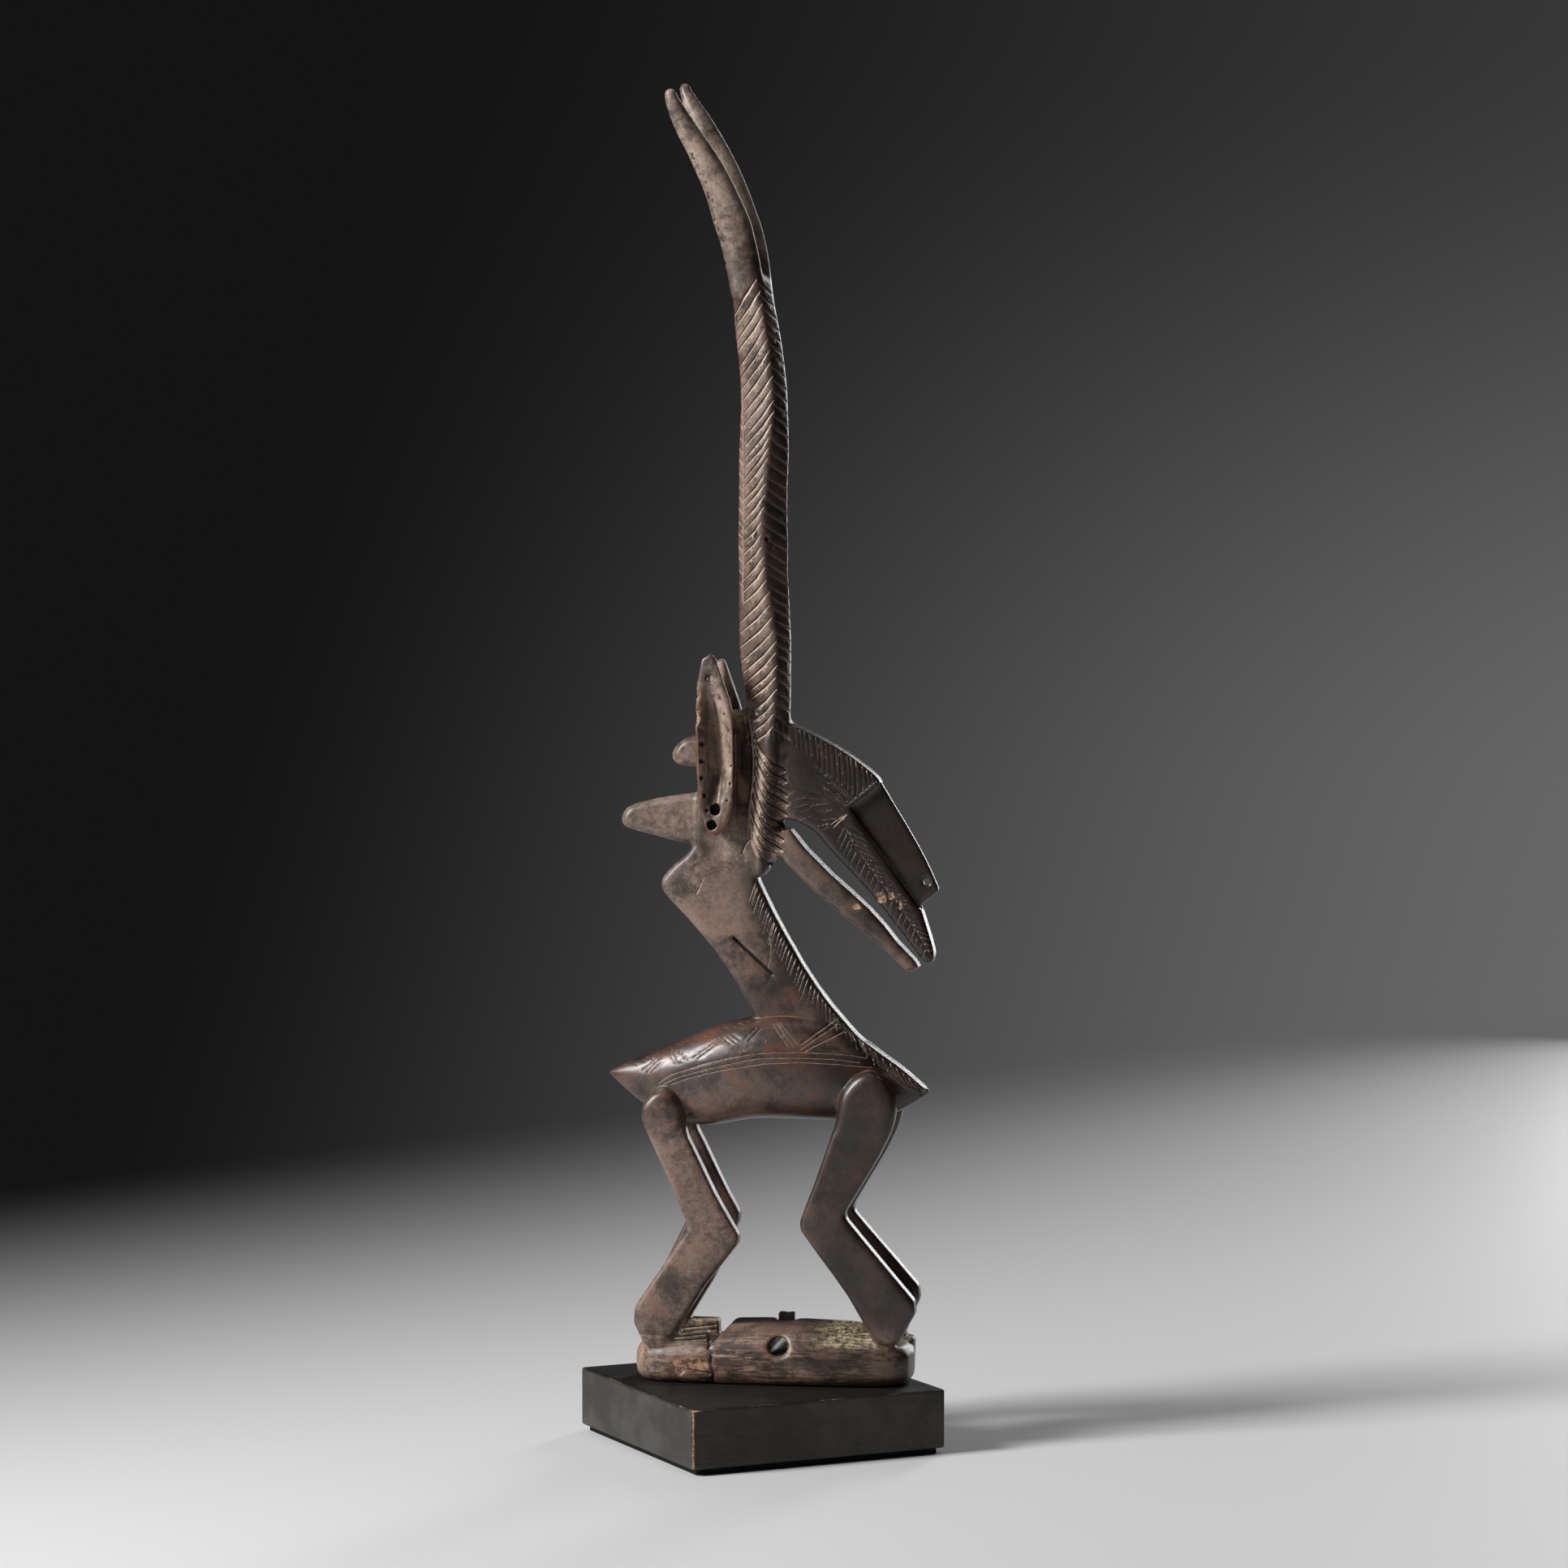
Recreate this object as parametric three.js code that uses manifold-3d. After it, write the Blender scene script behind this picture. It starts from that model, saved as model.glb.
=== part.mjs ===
// Antelope crest figure carved from one piece of wood, resting on a square painted plinth.
// Millimetres, +Z up. X runs along the carving towards its jaws, Y across it, away from the viewer.
// The origin is the middle of the plinth's underside, on the ground.
import * as THREE from "three";
import { mergeVertices } from "three/addons/utils/BufferGeometryUtils.js";
import Module from "manifold-3d";

const wasm = await Module();
wasm.setup();

// Plinth: a square block with chamfered edges, on a felt pad set in from its faces
const plinthSide = 150;
const plinthHeight = 32;
const plinthChamfer = 2.4;
const plinthTurn = THREE.MathUtils.degToRad(34.6);
const padThickness = 3;
const padInset = 3.5;
const restGap = 0.3;

// The carving's outlines are drawn in parts: it stands 709 parts high
const carvingHeight = 709;
const carvingParts = 709;
const part = carvingHeight / carvingParts;

// Thicknesses across the carving
const baseWidth = 55;
const bodyWidth = 45;
const legThickness = 13;
const legOutset = 0.5;
const toeInset = 2;
const neckThickness = 18;
const headThickness = 16;
const panelThickness = 6;
const lowerJawThickness = 18;
const blockThickness = 19;
const snoutThickness = 18;
const bladeThickness = 15;
const beamWidth = 28;
const hornThickness = 13;
const hornTipSpread = 36;
const earSpread = 39;
const earSeat = 2;
const farEarDrop = 3;
const earChannelDepth = 7;

// Holes and cuts
const tieHoleDiameter = 11;
const earHoleDiameter = 4;
const panelHoleDiameter = 4.5;
const earLacingDiameter = 4.5;
const grooveWidth = 2.4;
const grooveDepth = 0.9;
const fineGrooveWidth = 1.6;
const fineGrooveDepth = 0.6;
const slitWidth = 1.8;
const slitDepth = 4;
const wornLength = 24;
const wornHeight = 9;
const wornDepth = 1.5;

// Peg wedged in the top of the base
const pegLength = 8.5;
const pegWidth = 6;
const pegRise = 3;
const pegClearance = 0.3;

// Numbers of repeated cuts
const chevronCount = 38;
const maneStrokeCount = 10;
const neckStrokeCount = 13;
const crestStrokeCount = 10;
const feathersOnCheek = 6;

// Solids

/** A closed geometry as a solid, whichever way round its faces came out. */
function solid(geometry) {
  const bare = geometry.index ? geometry.toNonIndexed() : geometry.clone();
  bare.deleteAttribute("normal");
  bare.deleteAttribute("uv");
  const merged = mergeVertices(bare, 1e-4);
  const positions = merged.attributes.position.array;
  const kept = [];
  let volume = 0;
  const [a, b, c] = [new THREE.Vector3(), new THREE.Vector3(), new THREE.Vector3()];
  for (let i = 0; i < merged.index.count; i += 3) {
    const corners = [0, 1, 2].map((k) => merged.index.getX(i + k));
    if (new Set(corners).size < 3) continue;
    [a, b, c].forEach((v, k) => v.fromArray(positions, corners[k] * 3));
    volume += a.dot(b.clone().cross(c));
    kept.push(corners);
  }
  const triVerts = new Uint32Array(kept.flatMap(([p, q, r]) => (volume > 0 ? [p, q, r] : [p, r, q])));
  return new wasm.Manifold(new wasm.Mesh({ numProp: 3, vertProperties: positions, triVerts }));
}

function union(solids) {
  return solids.reduce((sum, next) => sum.add(next));
}

/** A named mesh made from a solid. */
function mesh(name, body, color, roughness) {
  const { vertProperties, triVerts } = body.getMesh();
  const geometry = new THREE.BufferGeometry();
  geometry.setAttribute("position", new THREE.BufferAttribute(vertProperties, 3));
  geometry.setIndex(new THREE.BufferAttribute(triVerts, 1));
  geometry.computeVertexNormals();
  const result = new THREE.Mesh(geometry, new THREE.MeshStandardMaterial({ color, roughness, metalness: 0 }));
  result.name = name;
  return result;
}

// Outlines and curves, in parts

/** A smooth curve through points given as [place, value]. */
function curve(...points) {
  const places = points.map(([place]) => place * part);
  const values = points.map(([, value]) => value * part);
  const lane = new THREE.CubicInterpolant(places, values, 1);
  return (place) => lane.evaluate(THREE.MathUtils.clamp(place, places[0], places.at(-1)))[0];
}

/** A closed outline: a single point is a corner, and a list is a curve through its points. */
function outline(...stretches) {
  const shape = new THREE.Shape();
  stretches.forEach((stretch, index) => {
    const list = Array.isArray(stretch[0]) ? stretch : [stretch];
    const points = list.map(([x, z]) => new THREE.Vector2(x * part, z * part));
    if (index === 0) shape.moveTo(points[0].x, points[0].y);
    else if (points.length === 1) shape.lineTo(points[0].x, points[0].y);
    else shape.splineThru(points);
  });
  return shape;
}

const broadRadius = 8 * part;

/** A closed outline of straight runs whose corners, [x, z, radius], are eased, broad ones in two steps. */
function roundedOutline(...corners) {
  const points = corners.map(([x, z]) => new THREE.Vector2(x * part, z * part));
  const shape = new THREE.Shape();
  points.forEach((corner, index) => {
    const before = points.at(index - 1).clone().sub(corner);
    const after = points[(index + 1) % points.length].clone().sub(corner);
    const radius = (corners[index][2] ?? 0) * part;
    const arrive = corner.clone().add(before.setLength(Math.min(radius, before.length() / 2)));
    const leave = corner.clone().add(after.setLength(Math.min(radius, after.length() / 2)));
    const middle = arrive.clone().add(leave).multiplyScalar(0.25).addScaledVector(corner, 0.5);
    if (index === 0) shape.moveTo(arrive.x, arrive.y);
    else shape.lineTo(arrive.x, arrive.y);
    if (radius >= broadRadius) shape.lineTo(middle.x, middle.y);
    if (radius > 0) shape.lineTo(leave.x, leave.y);
  });
  shape.closePath();
  return shape;
}

/** A plate of the given outline, standing across Y about the place `middle`, with eased edges. */
function plate(shape, thickness, edge, middle = 0, curveSegments = 2) {
  const geometry = new THREE.ExtrudeGeometry(shape, {
    depth: thickness - 2 * edge,
    bevelEnabled: edge > 0,
    bevelThickness: edge,
    bevelSize: edge,
    bevelOffset: -edge,
    bevelSegments: 1,
    curveSegments,
  });
  geometry.translate(0, 0, edge - thickness / 2);
  geometry.rotateX(Math.PI / 2);
  geometry.translate(0, middle, 0);
  return solid(geometry);
}

/** A skin over rings of points, closed flat at both ends: a cylinder moved onto the rings. */
function loft(rings) {
  const sides = rings[0].length;
  const geometry = new THREE.CylinderGeometry(1, 1, 1, sides, rings.length - 1);
  const position = geometry.attributes.position;
  const middles = rings.map((ring) => ring.reduce((sum, p) => sum.add(p), new THREE.Vector3()));
  middles.forEach((middle) => middle.divideScalar(sides));
  for (let i = 0; i < position.count; i += 1) {
    const [x, y, z] = [position.getX(i), position.getY(i), position.getZ(i)];
    const row = Math.round((0.5 - y) * (rings.length - 1));
    const turn = Math.round((Math.atan2(x, z) / (2 * Math.PI)) * sides + sides) % sides;
    const place = Math.hypot(x, z) < 0.5 ? middles[row] : rings[row][turn];
    position.setXYZ(i, place.x, place.y, place.z);
  }
  return solid(geometry);
}

/** Points round an oval, squarer as `power` rises above 2. */
function oval(sides, power, place) {
  return Array.from({ length: sides }, (_, i) => {
    const angle = (i / sides) * 2 * Math.PI;
    const bend = (value) => Math.sign(value) * Math.abs(value) ** (2 / power);
    return place(bend(Math.cos(angle)), bend(Math.sin(angle)));
  });
}

/** Rings of one outline, each [place across Y, growth about the outline's middle]. */
function layered(shape, divisions, layers) {
  const points = shape.getPoints(divisions).slice(0, -1);
  const middle = points.reduce((sum, p) => sum.add(p), new THREE.Vector2()).divideScalar(points.length);
  return loft(layers.map(([y, growth]) => points.map((p) => {
    const moved = p.clone().sub(middle).multiplyScalar(growth).add(middle);
    return new THREE.Vector3(moved.x, y, moved.y);
  })));
}

/** A round pin along the line between two points. */
function pin(from, to, radius, sides = 12) {
  const geometry = new THREE.CylinderGeometry(radius, radius, from.distanceTo(to), sides);
  geometry.applyQuaternion(new THREE.Quaternion().setFromUnitVectors(
    new THREE.Vector3(0, 1, 0),
    to.clone().sub(from).normalize(),
  ));
  geometry.translate(...from.clone().add(to).multiplyScalar(0.5).toArray());
  return solid(geometry);
}

/** A V-shaped cutter between two points on a surface that faces `outward`. */
function groove(from, to, outward, width = grooveWidth, depth = grooveDepth) {
  const along = to.clone().sub(from);
  const inward = outward.clone().negate().addScaledVector(along, outward.dot(along) / along.lengthSq());
  inward.normalize();
  const basis = new THREE.Matrix4().makeBasis(
    along.clone().normalize().cross(inward),
    along.clone().normalize(),
    inward,
  );
  const geometry = new THREE.CylinderGeometry(1, 1, 1, 3);
  const height = depth + width / 2;
  const size = height / 1.5;
  geometry.scale((width / Math.sqrt(3)) * (height / depth), along.length() + width / 2, size);
  geometry.translate(0, 0, depth - size);
  geometry.applyMatrix4(basis);
  geometry.translate(...from.clone().add(to).multiplyScalar(0.5).toArray());
  return solid(geometry);
}

function fineGroove(from, to, outward) {
  return groove(from, to, outward, fineGrooveWidth, fineGrooveDepth);
}

/** The two sides of the carving, near and far. */
const sides = [-1, 1];
const acrossY = (side) => new THREE.Vector3(0, side, 0);
const spot = (x, y, z) => new THREE.Vector3(x * part, y, z * part);

// Base block: a low slab with a dome over all but its left end

const baseMiddle = 8.5 * part;
const baseHalfLength = 77 * part;
const slabHeight = 21 * part;
const domeHeight = 31.8 * part;
const domeFall = 1.5 * part;
const stepX = -23.3 * part;
const domeEnds = [
  { x: stepX, side: -1, lean: THREE.MathUtils.degToRad(40) },
  { x: 75 * part, side: 1, lean: THREE.MathUtils.degToRad(62) },
];
const tieHoleX = 13.3 * part;
const tieHoleZ = 20.5 * part;
const baseOvalPower = 4.2;
const baseSides = 20;

/** One level of the base, drawn in from the widest outline, with ends that fall away. */
function baseRing(z, inset, fall = 0) {
  return oval(baseSides, baseOvalPower, (u, v) => new THREE.Vector3(
    baseMiddle + u * (baseHalfLength - inset),
    v * (baseWidth / 2 - inset),
    z - fall * u * u,
  ));
}

/** What slopes off one end of the dome: a block whose face leans in over the dome. */
function domeSlope({ x, side, lean }) {
  const reach = 2 * baseHalfLength;
  const block = new THREE.BoxGeometry(reach, 2 * baseWidth, 2 * reach);
  block.translate((side * reach) / 2, 0, 0);
  block.rotateY(-side * lean);
  block.translate(x, 0, slabHeight);
  return solid(block);
}

function baseBlock() {
  const slab = loft([
    baseRing(0, 4),
    baseRing(0.2 * slabHeight, 0.5),
    baseRing(0.75 * slabHeight, 0.5),
    baseRing(slabHeight, 4.5),
  ]);
  const dome = loft([
    baseRing(0.3 * domeHeight, 0.8),
    baseRing(0.62 * domeHeight, 2),
    baseRing(0.86 * domeHeight, 8, 0.6 * domeFall),
    baseRing(domeHeight, 17, domeFall),
  ]);
  const near = -baseWidth / 2;
  const crack = groove(
    new THREE.Vector3(stepX, near, slabHeight),
    new THREE.Vector3(stepX, near, 0),
    acrossY(-1),
    grooveWidth,
    1.5 * grooveDepth,
  );
  const wornPatch = new THREE.BoxGeometry(wornLength, 2 * wornDepth, wornHeight);
  wornPatch.translate(stepX - wornLength / 2, near, 0.43 * slabHeight);
  const tieHole = pin(
    new THREE.Vector3(tieHoleX, -baseWidth, tieHoleZ),
    new THREE.Vector3(tieHoleX, baseWidth, tieHoleZ),
    tieHoleDiameter / 2,
    16,
  );
  const sloped = domeEnds.reduce((sum, end) => sum.subtract(domeSlope(end)), dome);
  return [crack, solid(wornPatch), tieHole].reduce((sum, cutter) => sum.subtract(cutter), slab.add(sloped));
}

// Legs: flat plates bent at the knee, each with a grooved toe bar lying on the base

const leftLegOutline = (kneeX, kneeZ) => roundedOutline(
  [-49.5, 163, 9],
  [-63.5, 152, 9],
  [-62.6, 143],
  [-46.7, 108.5],
  [-36.6 + (kneeX + 8) / 2, kneeZ + 6, 2],
  [-62.1, 46.8],
  [-69, 36, 5],
  [-60.7, 19, 2],
  [-48.6, 19, 2],
  [-27.9, 52.6],
  [kneeX, kneeZ, 2.5],
  [-21.6, 102.8],
  [-37.7, 135.7],
  [-41, 152, 8],
);

const rightLegOutline = (hockX, hockZ) => roundedOutline(
  [62, 174, 8],
  [46.8, 160, 9],
  [44.5, 143],
  [32.4, 108.8],
  [23.6, 86.3, 2.5],
  [51, 49.6],
  [66.1, 24, 2],
  [77, 22, 2],
  [hockX, hockZ, 4],
  [48.6, 92.8, 2],
  [68.2, 125.4],
  [76.5, 142, 8],
  [77.6, 160, 9],
);

/** The middle of a leg across the carving: its outer face stands a little proud of the body. */
const legMiddle = (side) => side * (bodyWidth / 2 + legOutset - legThickness / 2);

function leg(shape, side) {
  return plate(shape, legThickness, 1.6, legMiddle(side), 1);
}

function legs() {
  return union([
    leg(leftLegOutline(-7.6, 78.5), -1),
    leg(leftLegOutline(-13, 87), 1),
    leg(rightLegOutline(90, 44), -1),
    leg(rightLegOutline(88, 48), 1),
  ]);
}

/** A toe bar on the base in front of an ankle, with grooves along both its faces and its top. */
function toeBar(x, z, length, height, side) {
  const middle = legMiddle(side);
  const half = (legThickness - toeInset) / 2;
  const top = (z + height) * part;
  const deep = 1.5 * height * part;
  const bar = new THREE.BoxGeometry(length * part, 2 * half, deep);
  bar.translate(x * part, middle, top - deep / 2);
  const along = (y, level, outward) => groove(
    new THREE.Vector3((x - length * 0.6) * part, y, level),
    new THREE.Vector3((x + length * 0.6) * part, y, level),
    outward,
  );
  const cuts = sides.flatMap((face) => [0.32, 0.7].map((rise) => (
    along(middle + face * half, (z + height * rise) * part, acrossY(face))
  )));
  cuts.push(along(middle, top, new THREE.Vector3(0, 0, 1)));
  return cuts.reduce((sum, cutter) => sum.subtract(cutter), solid(bar));
}

/** Both hind toes, and the one fore toe that is left. */
function toes() {
  return union([
    toeBar(-36, 20.5, 21, 7.5, -1),
    toeBar(-36.5, 22, 22, 7.5, 1),
    toeBar(76, 14, 14, 8.5, 1),
  ]);
}

// Body: a spindle, pointed at both ends, with incised bands on its flanks

const bodyEnds = [-85.6, 94.3];
const bodyTop = curve(
  [-85.6, 167.5], [-62, 177.5], [-38, 188], [-8, 198], [20, 201], [45, 195], [66, 178],
  [94.3, 159.5],
);
const bodyUnderside = curve(
  [-85.6, 166.5], [-63, 149], [-38, 139.3], [0, 143], [41, 143], [72, 146], [94.3, 158.5],
);
const bodySides = 14;
const bodyStations = 11;
const bodyOvalPower = 2.3;

function bodyHalfWidth(x) {
  const [from, to] = bodyEnds.map((end) => end * part);
  const share = Math.abs((2 * x - from - to) / (to - from));
  return (bodyWidth / 2) * (1 - share ** 1.9) + 0.8;
}

/** A place on the flank, `rise` of the way from the body's middle height to its top. */
function onFlank(x, rise, side) {
  const middle = (bodyTop(x) + bodyUnderside(x)) / 2;
  const angle = Math.asin(rise ** (bodyOvalPower / 2));
  const y = side * bodyHalfWidth(x) * Math.cos(angle) ** (2 / bodyOvalPower);
  return new THREE.Vector3(x, y, middle + rise * (bodyTop(x) - middle));
}

function spindle() {
  const [from, to] = bodyEnds.map((end) => end * part);
  const rings = Array.from({ length: bodyStations + 1 }, (_, i) => {
    const x = (from + to) / 2 - ((to - from) / 2) * Math.cos((i / bodyStations) * Math.PI);
    const [top, underside] = [bodyTop(x), bodyUnderside(x)];
    return oval(bodySides, bodyOvalPower, (u, v) => new THREE.Vector3(
      x,
      u * bodyHalfWidth(x),
      (top + underside) / 2 + (v * (top - underside)) / 2,
    ));
  });
  return loft(rings);
}

/** Fine cutters one after another along a line on the flank. */
function flankLine(places, side) {
  return places.slice(1).map((place, i) => {
    const [a, b] = [places[i], place].map(([x, rise]) => onFlank(x * part, rise, side));
    return fineGroove(a, b, new THREE.Vector3(0, side, 0.35).normalize());
  });
}

function flankCuts(side) {
  const lines = [0.3, 0.42, 0.54].flatMap((rise) => (
    flankLine([-56, -30, 0, 30, 58].map((x) => [x, rise]), side)
  ));
  const zigzag = [-58, -42, -24, -4, 16, 36].flatMap((x, i) => {
    const lean = i % 2 === 0 ? 10 : -10;
    return flankLine([[x - lean / 2, 0.7], [x + lean / 2, 0.92]], side);
  });
  return [...lines, ...zigzag];
}

// Neck: a flat-sided plate that leans over the body, swells at the breast and runs out along the tail

const neckFrontEdge = curve(
  [160, 93], [171.5, 79], [181, 65.2], [193.7, 50.5], [220, 29.2], [251, 10.8], [276, -1.2],
);

function neck() {
  const shape = outline(
    [93, 159.5],
    [[79, 171.5], [65.2, 181.1], [49.9, 193.7], [28.8, 220.2], [10.4, 251.1], [-1.8, 275.5]],
    [-2, 292],
    [-37, 293],
    [[-38.5, 288.5], [-46.8, 281.8], [-53, 274.5], [-53, 267], [-37.3, 250.4], [-17.6, 226.2], [-2.8, 200.2]],
    [-4, 180],
    [60, 168],
  );
  return plate(shape, neckThickness, 2, 0, 2);
}

function neckCuts(side) {
  const y = (side * neckThickness) / 2;
  const strokes = Array.from({ length: neckStrokeCount }, (_, i) => {
    const z = 270 - (i * (270 - 168)) / (neckStrokeCount - 1);
    const x = neckFrontEdge(z * part) / part;
    const reach = THREE.MathUtils.lerp(11, 6, i / neckStrokeCount);
    return fineGroove(spot(x, y, z), spot(x - 2.5, y, z - reach), acrossY(side));
  });
  const slit = groove(spot(-13.4, y, 241.9), spot(7.7, y, 222.6), acrossY(side), slitWidth, slitDepth);
  return [...strokes, slit];
}

// Head: a long plate with a sunk panel, herringbone on the cheek, and a thick lower jaw

function headPlate() {
  const shape = outline(
    [-4, 352],
    [4, 361],
    [[15.3, 360.2], [41.3, 347.4], [62.8, 332.5], [67.3, 326]],
    [[82.7, 300.5], [92, 283.5], [98.7, 268.6]],
    [88.4, 261],
    [[92.3, 248.9], [96, 235.5], [94.8, 229.3], [90.6, 229.8]],
    [[82.5, 240.3], [62.6, 265.6], [38.8, 291], [31.2, 299.7], [21.4, 305.5], [15, 307]],
    [-4, 300],
  );
  return plate(shape, headThickness, 1.6);
}

/** What is cut from one cheek to leave the thin panel with its sloping step. */
function panelCut(side) {
  const shape = outline([49.8, 313.5], [70, 328.5], [104, 300], [104, 258], [87.2, 259]);
  const thickness = headThickness / 2;
  return plate(shape, thickness, 0, side * (panelThickness + thickness) / 2);
}

function headCuts(side) {
  const y = (side * headThickness) / 2;
  const crest = curve([15, 360.3], [28.3, 354.9], [41.3, 347.4], [54.3, 340], [62.8, 332.5]);
  const crestStrokes = Array.from({ length: crestStrokeCount }, (_, i) => {
    const x = 18 + (i * 43) / (crestStrokeCount - 1);
    const top = crest(x * part) / part;
    return fineGroove(spot(x, y, top), spot(x + 1.5, y, top - 15), acrossY(side));
  });
  const feathers = Array.from({ length: feathersOnCheek }, (_, i) => {
    const share = i / (feathersOnCheek - 1);
    const [x, z] = [THREE.MathUtils.lerp(52.6, 84, share), THREE.MathUtils.lerp(292, 249.5, share)];
    return [
      fineGroove(spot(x, y, z), spot(x - 6.5, y, z + 2.5), acrossY(side)),
      fineGroove(spot(x, y, z), spot(x + 2, y, z + 7.5), acrossY(side)),
    ];
  }).flat();
  const midline = fineGroove(spot(51, y, 294), spot(94, y, 236), acrossY(side));
  return [...crestStrokes, ...feathers, midline];
}

function lowerJaw() {
  const shape = outline(
    [2, 300],
    [17, 302],
    [[27.8, 288.8], [43, 274.3], [55.4, 263.7], [67, 252.1], [74.1, 242.9], [85.5, 230.8]],
    [88, 226.8],
    [82, 224.2],
    [[65.7, 239.3], [54.1, 248.4], [33.6, 264.9], [12.6, 285.5]],
    [0, 288],
  );
  return plate(shape, lowerJawThickness, 2, 0, 1);
}

// Back of the head: a block that carries the ears, with a slit snout and a blade pointing back

function headBlock() {
  const shape = roundedOutline([-28, 366, 2], [-33, 345, 2], [-35, 289], [6, 280], [6, 358], [-5, 366, 2]);
  return plate(shape, blockThickness, 1.6);
}

function snout() {
  const shape = outline(
    [-24, 334.5],
    [-24, 353],
    [
      [-35.4, 352.7], [-42.1, 350.9], [-47.1, 345.6], [-48.9, 340.6],
      [-46.3, 336.6], [-40.8, 335.2], [-35.4, 334.8],
    ],
  );
  const half = snoutThickness / 2;
  const body = layered(shape, 1, [[-half, 0.6], [-0.6 * half, 0.95], [0.6 * half, 0.95], [half, 0.6]]);
  const mouth = sides.map((side) => groove(
    spot(-50, side * half * 0.85, 338.2),
    spot(-32, side * half * 0.85, 341.2),
    acrossY(side),
    slitWidth,
    slitDepth,
  ));
  return mouth.reduce((sum, cutter) => sum.subtract(cutter), body);
}

function blade() {
  const shape = outline(
    [-26, 291],
    [-26, 322],
    [-34.3, 321.1],
    [[-51.6, 318.7], [-65.1, 316], [-72.8, 313.5], [-76.5, 307.7], [-75.2, 302.5], [-68, 299.8]],
    [-47.1, 294.6],
    [-36.8, 292.7],
  );
  return plate(shape, bladeThickness, 3);
}

// Ears: upright leaves hollowed into a channel on the outside, pierced near the tip and at the foot

const earOutline = outline(
  [-24.1, 398],
  [[-30.3, 393.5], [-32.4, 376], [-33, 350], [-31.4, 318], [-27.5, 301], [-21.7, 297.7], [-16, 302.5]],
  [[-11.6, 316], [-9.4, 340], [-11.2, 363], [-18, 383.5], [-21.4, 394.5], [-24.1, 398]],
);

function ear(side) {
  const drop = side > 0 ? farEarDrop : 0;
  const rim = (side * earSpread) / 2;
  const back = side * (blockThickness / 2 - earSeat);
  const body = layered(earOutline, 1, [[back, 0.6], [(back + rim) / 2, 0.95], [rim - side, 1], [rim, 0.96]]);
  const channel = layered(earOutline, 1, [
    [rim - side * earChannelDepth, 0.35],
    [rim + side, 0.76],
  ]);
  const tipHole = pin(spot(-25, -2 * rim, 383.6), spot(-25, 2 * rim, 383.6), earHoleDiameter / 2, 8);
  const lacing = [[-21.9, 312.5], [-23.7, 304.5]].map(([x, z]) => (
    pin(spot(x, rim + side, z), spot(x, rim - side * 4, z), earLacingDiameter / 2, 8)
  ));
  const hollowed = [channel, tipHole, ...lacing].reduce((sum, cutter) => sum.subtract(cutter), body);
  return hollowed.translate([0, 0, -drop]);
}

// Beam: the fused horns, a long lozenge in section cut with chevrons, running down as the mane

const beamBack = curve(
  [276, -2], [290, -9.5], [310, -7], [330, -4.5], [350, -5], [372, -8], [395, -11], [420, -12],
  [500, -11.8], [545, -11.2], [572, -14], [604, -16],
);
const beamFront = curve(
  [276, 3.5], [290, 12], [312, 14], [345, 16], [400, 17], [470, 15.5], [530, 15.5],
  [560, 12.6], [604, 5],
);
const beamRidge = curve(
  [276, 0.5], [300, 3], [345, 7], [380, 10], [412, 9], [440, 3.5], [500, 4.8], [530, 8.3],
  [560, 6], [604, -1.5],
);
const beamFoot = 276;
const beamHead = 606;
const beamHeadTaper = 6;
const strip = 2.2;

function beamHalfWidth(z) {
  const foot = THREE.MathUtils.smoothstep(z, beamFoot * part, (beamFoot + 22) * part);
  return (beamWidth / 2) * (0.82 + 0.18 * foot);
}

/**
 * A ring of the beam whose ridges stand at height z, drawn in by `depth`. The back and front
 * edges lie lower by the given slopes, so that a ring drawn in becomes a carved chevron.
 */
function beamRing(z, backSlope, frontSlope, depth = 0) {
  const ridge = beamRidge(z);
  const backZ = z - (ridge - beamBack(z)) * backSlope;
  const frontZ = z - (beamFront(z) - ridge) * frontSlope;
  const half = beamHalfWidth(z) - depth;
  const near = [
    [beamBack(backZ) + depth, -strip, backZ],
    [ridge - strip, -half, z - strip * backSlope],
    [ridge + strip, -half, z - strip * frontSlope],
  ];
  const front = [beamFront(frontZ) - depth, 0, frontZ];
  const far = near.map(([x, y, height]) => [x, -y, height]).reverse();
  return [...near, front, ...far].map(([x, y, height]) => new THREE.Vector3(x, y, height));
}

/** The three rings of a cut: its upper edge, its bottom and its lower edge. */
function beamCut(z, backSlope, frontSlope) {
  const half = grooveWidth / 2;
  return [[half, 0], [0, grooveDepth], [-half, 0]].map(([rise, depth]) => (
    beamRing(z + rise, backSlope, frontSlope, depth)
  ));
}

function beam() {
  const chevrons = Array.from({ length: chevronCount }, (_, i) => {
    const share = i / (chevronCount - 1);
    const z = THREE.MathUtils.lerp(598, 357, share) * part;
    return beamCut(z, THREE.MathUtils.lerp(1.25, 0.75, share), THREE.MathUtils.lerp(0.8, 0.65, share));
  }).flat();
  const strokes = Array.from({ length: maneStrokeCount }, (_, i) => (
    beamCut(THREE.MathUtils.lerp(338, 287, i / (maneStrokeCount - 1)) * part, -0.55, 0.45)
  )).flat();
  return loft([
    beamRing(beamHead * part, 0, 0, beamHeadTaper * part),
    beamRing((beamHead - beamHeadTaper) * part, 0.5, 0.5),
    ...chevrons,
    ...strokes,
    beamRing(beamFoot * part, 0, 0),
  ]);
}

// Horns: two round tapering tips that part above the beam, the far one longer and a little forward

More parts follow.
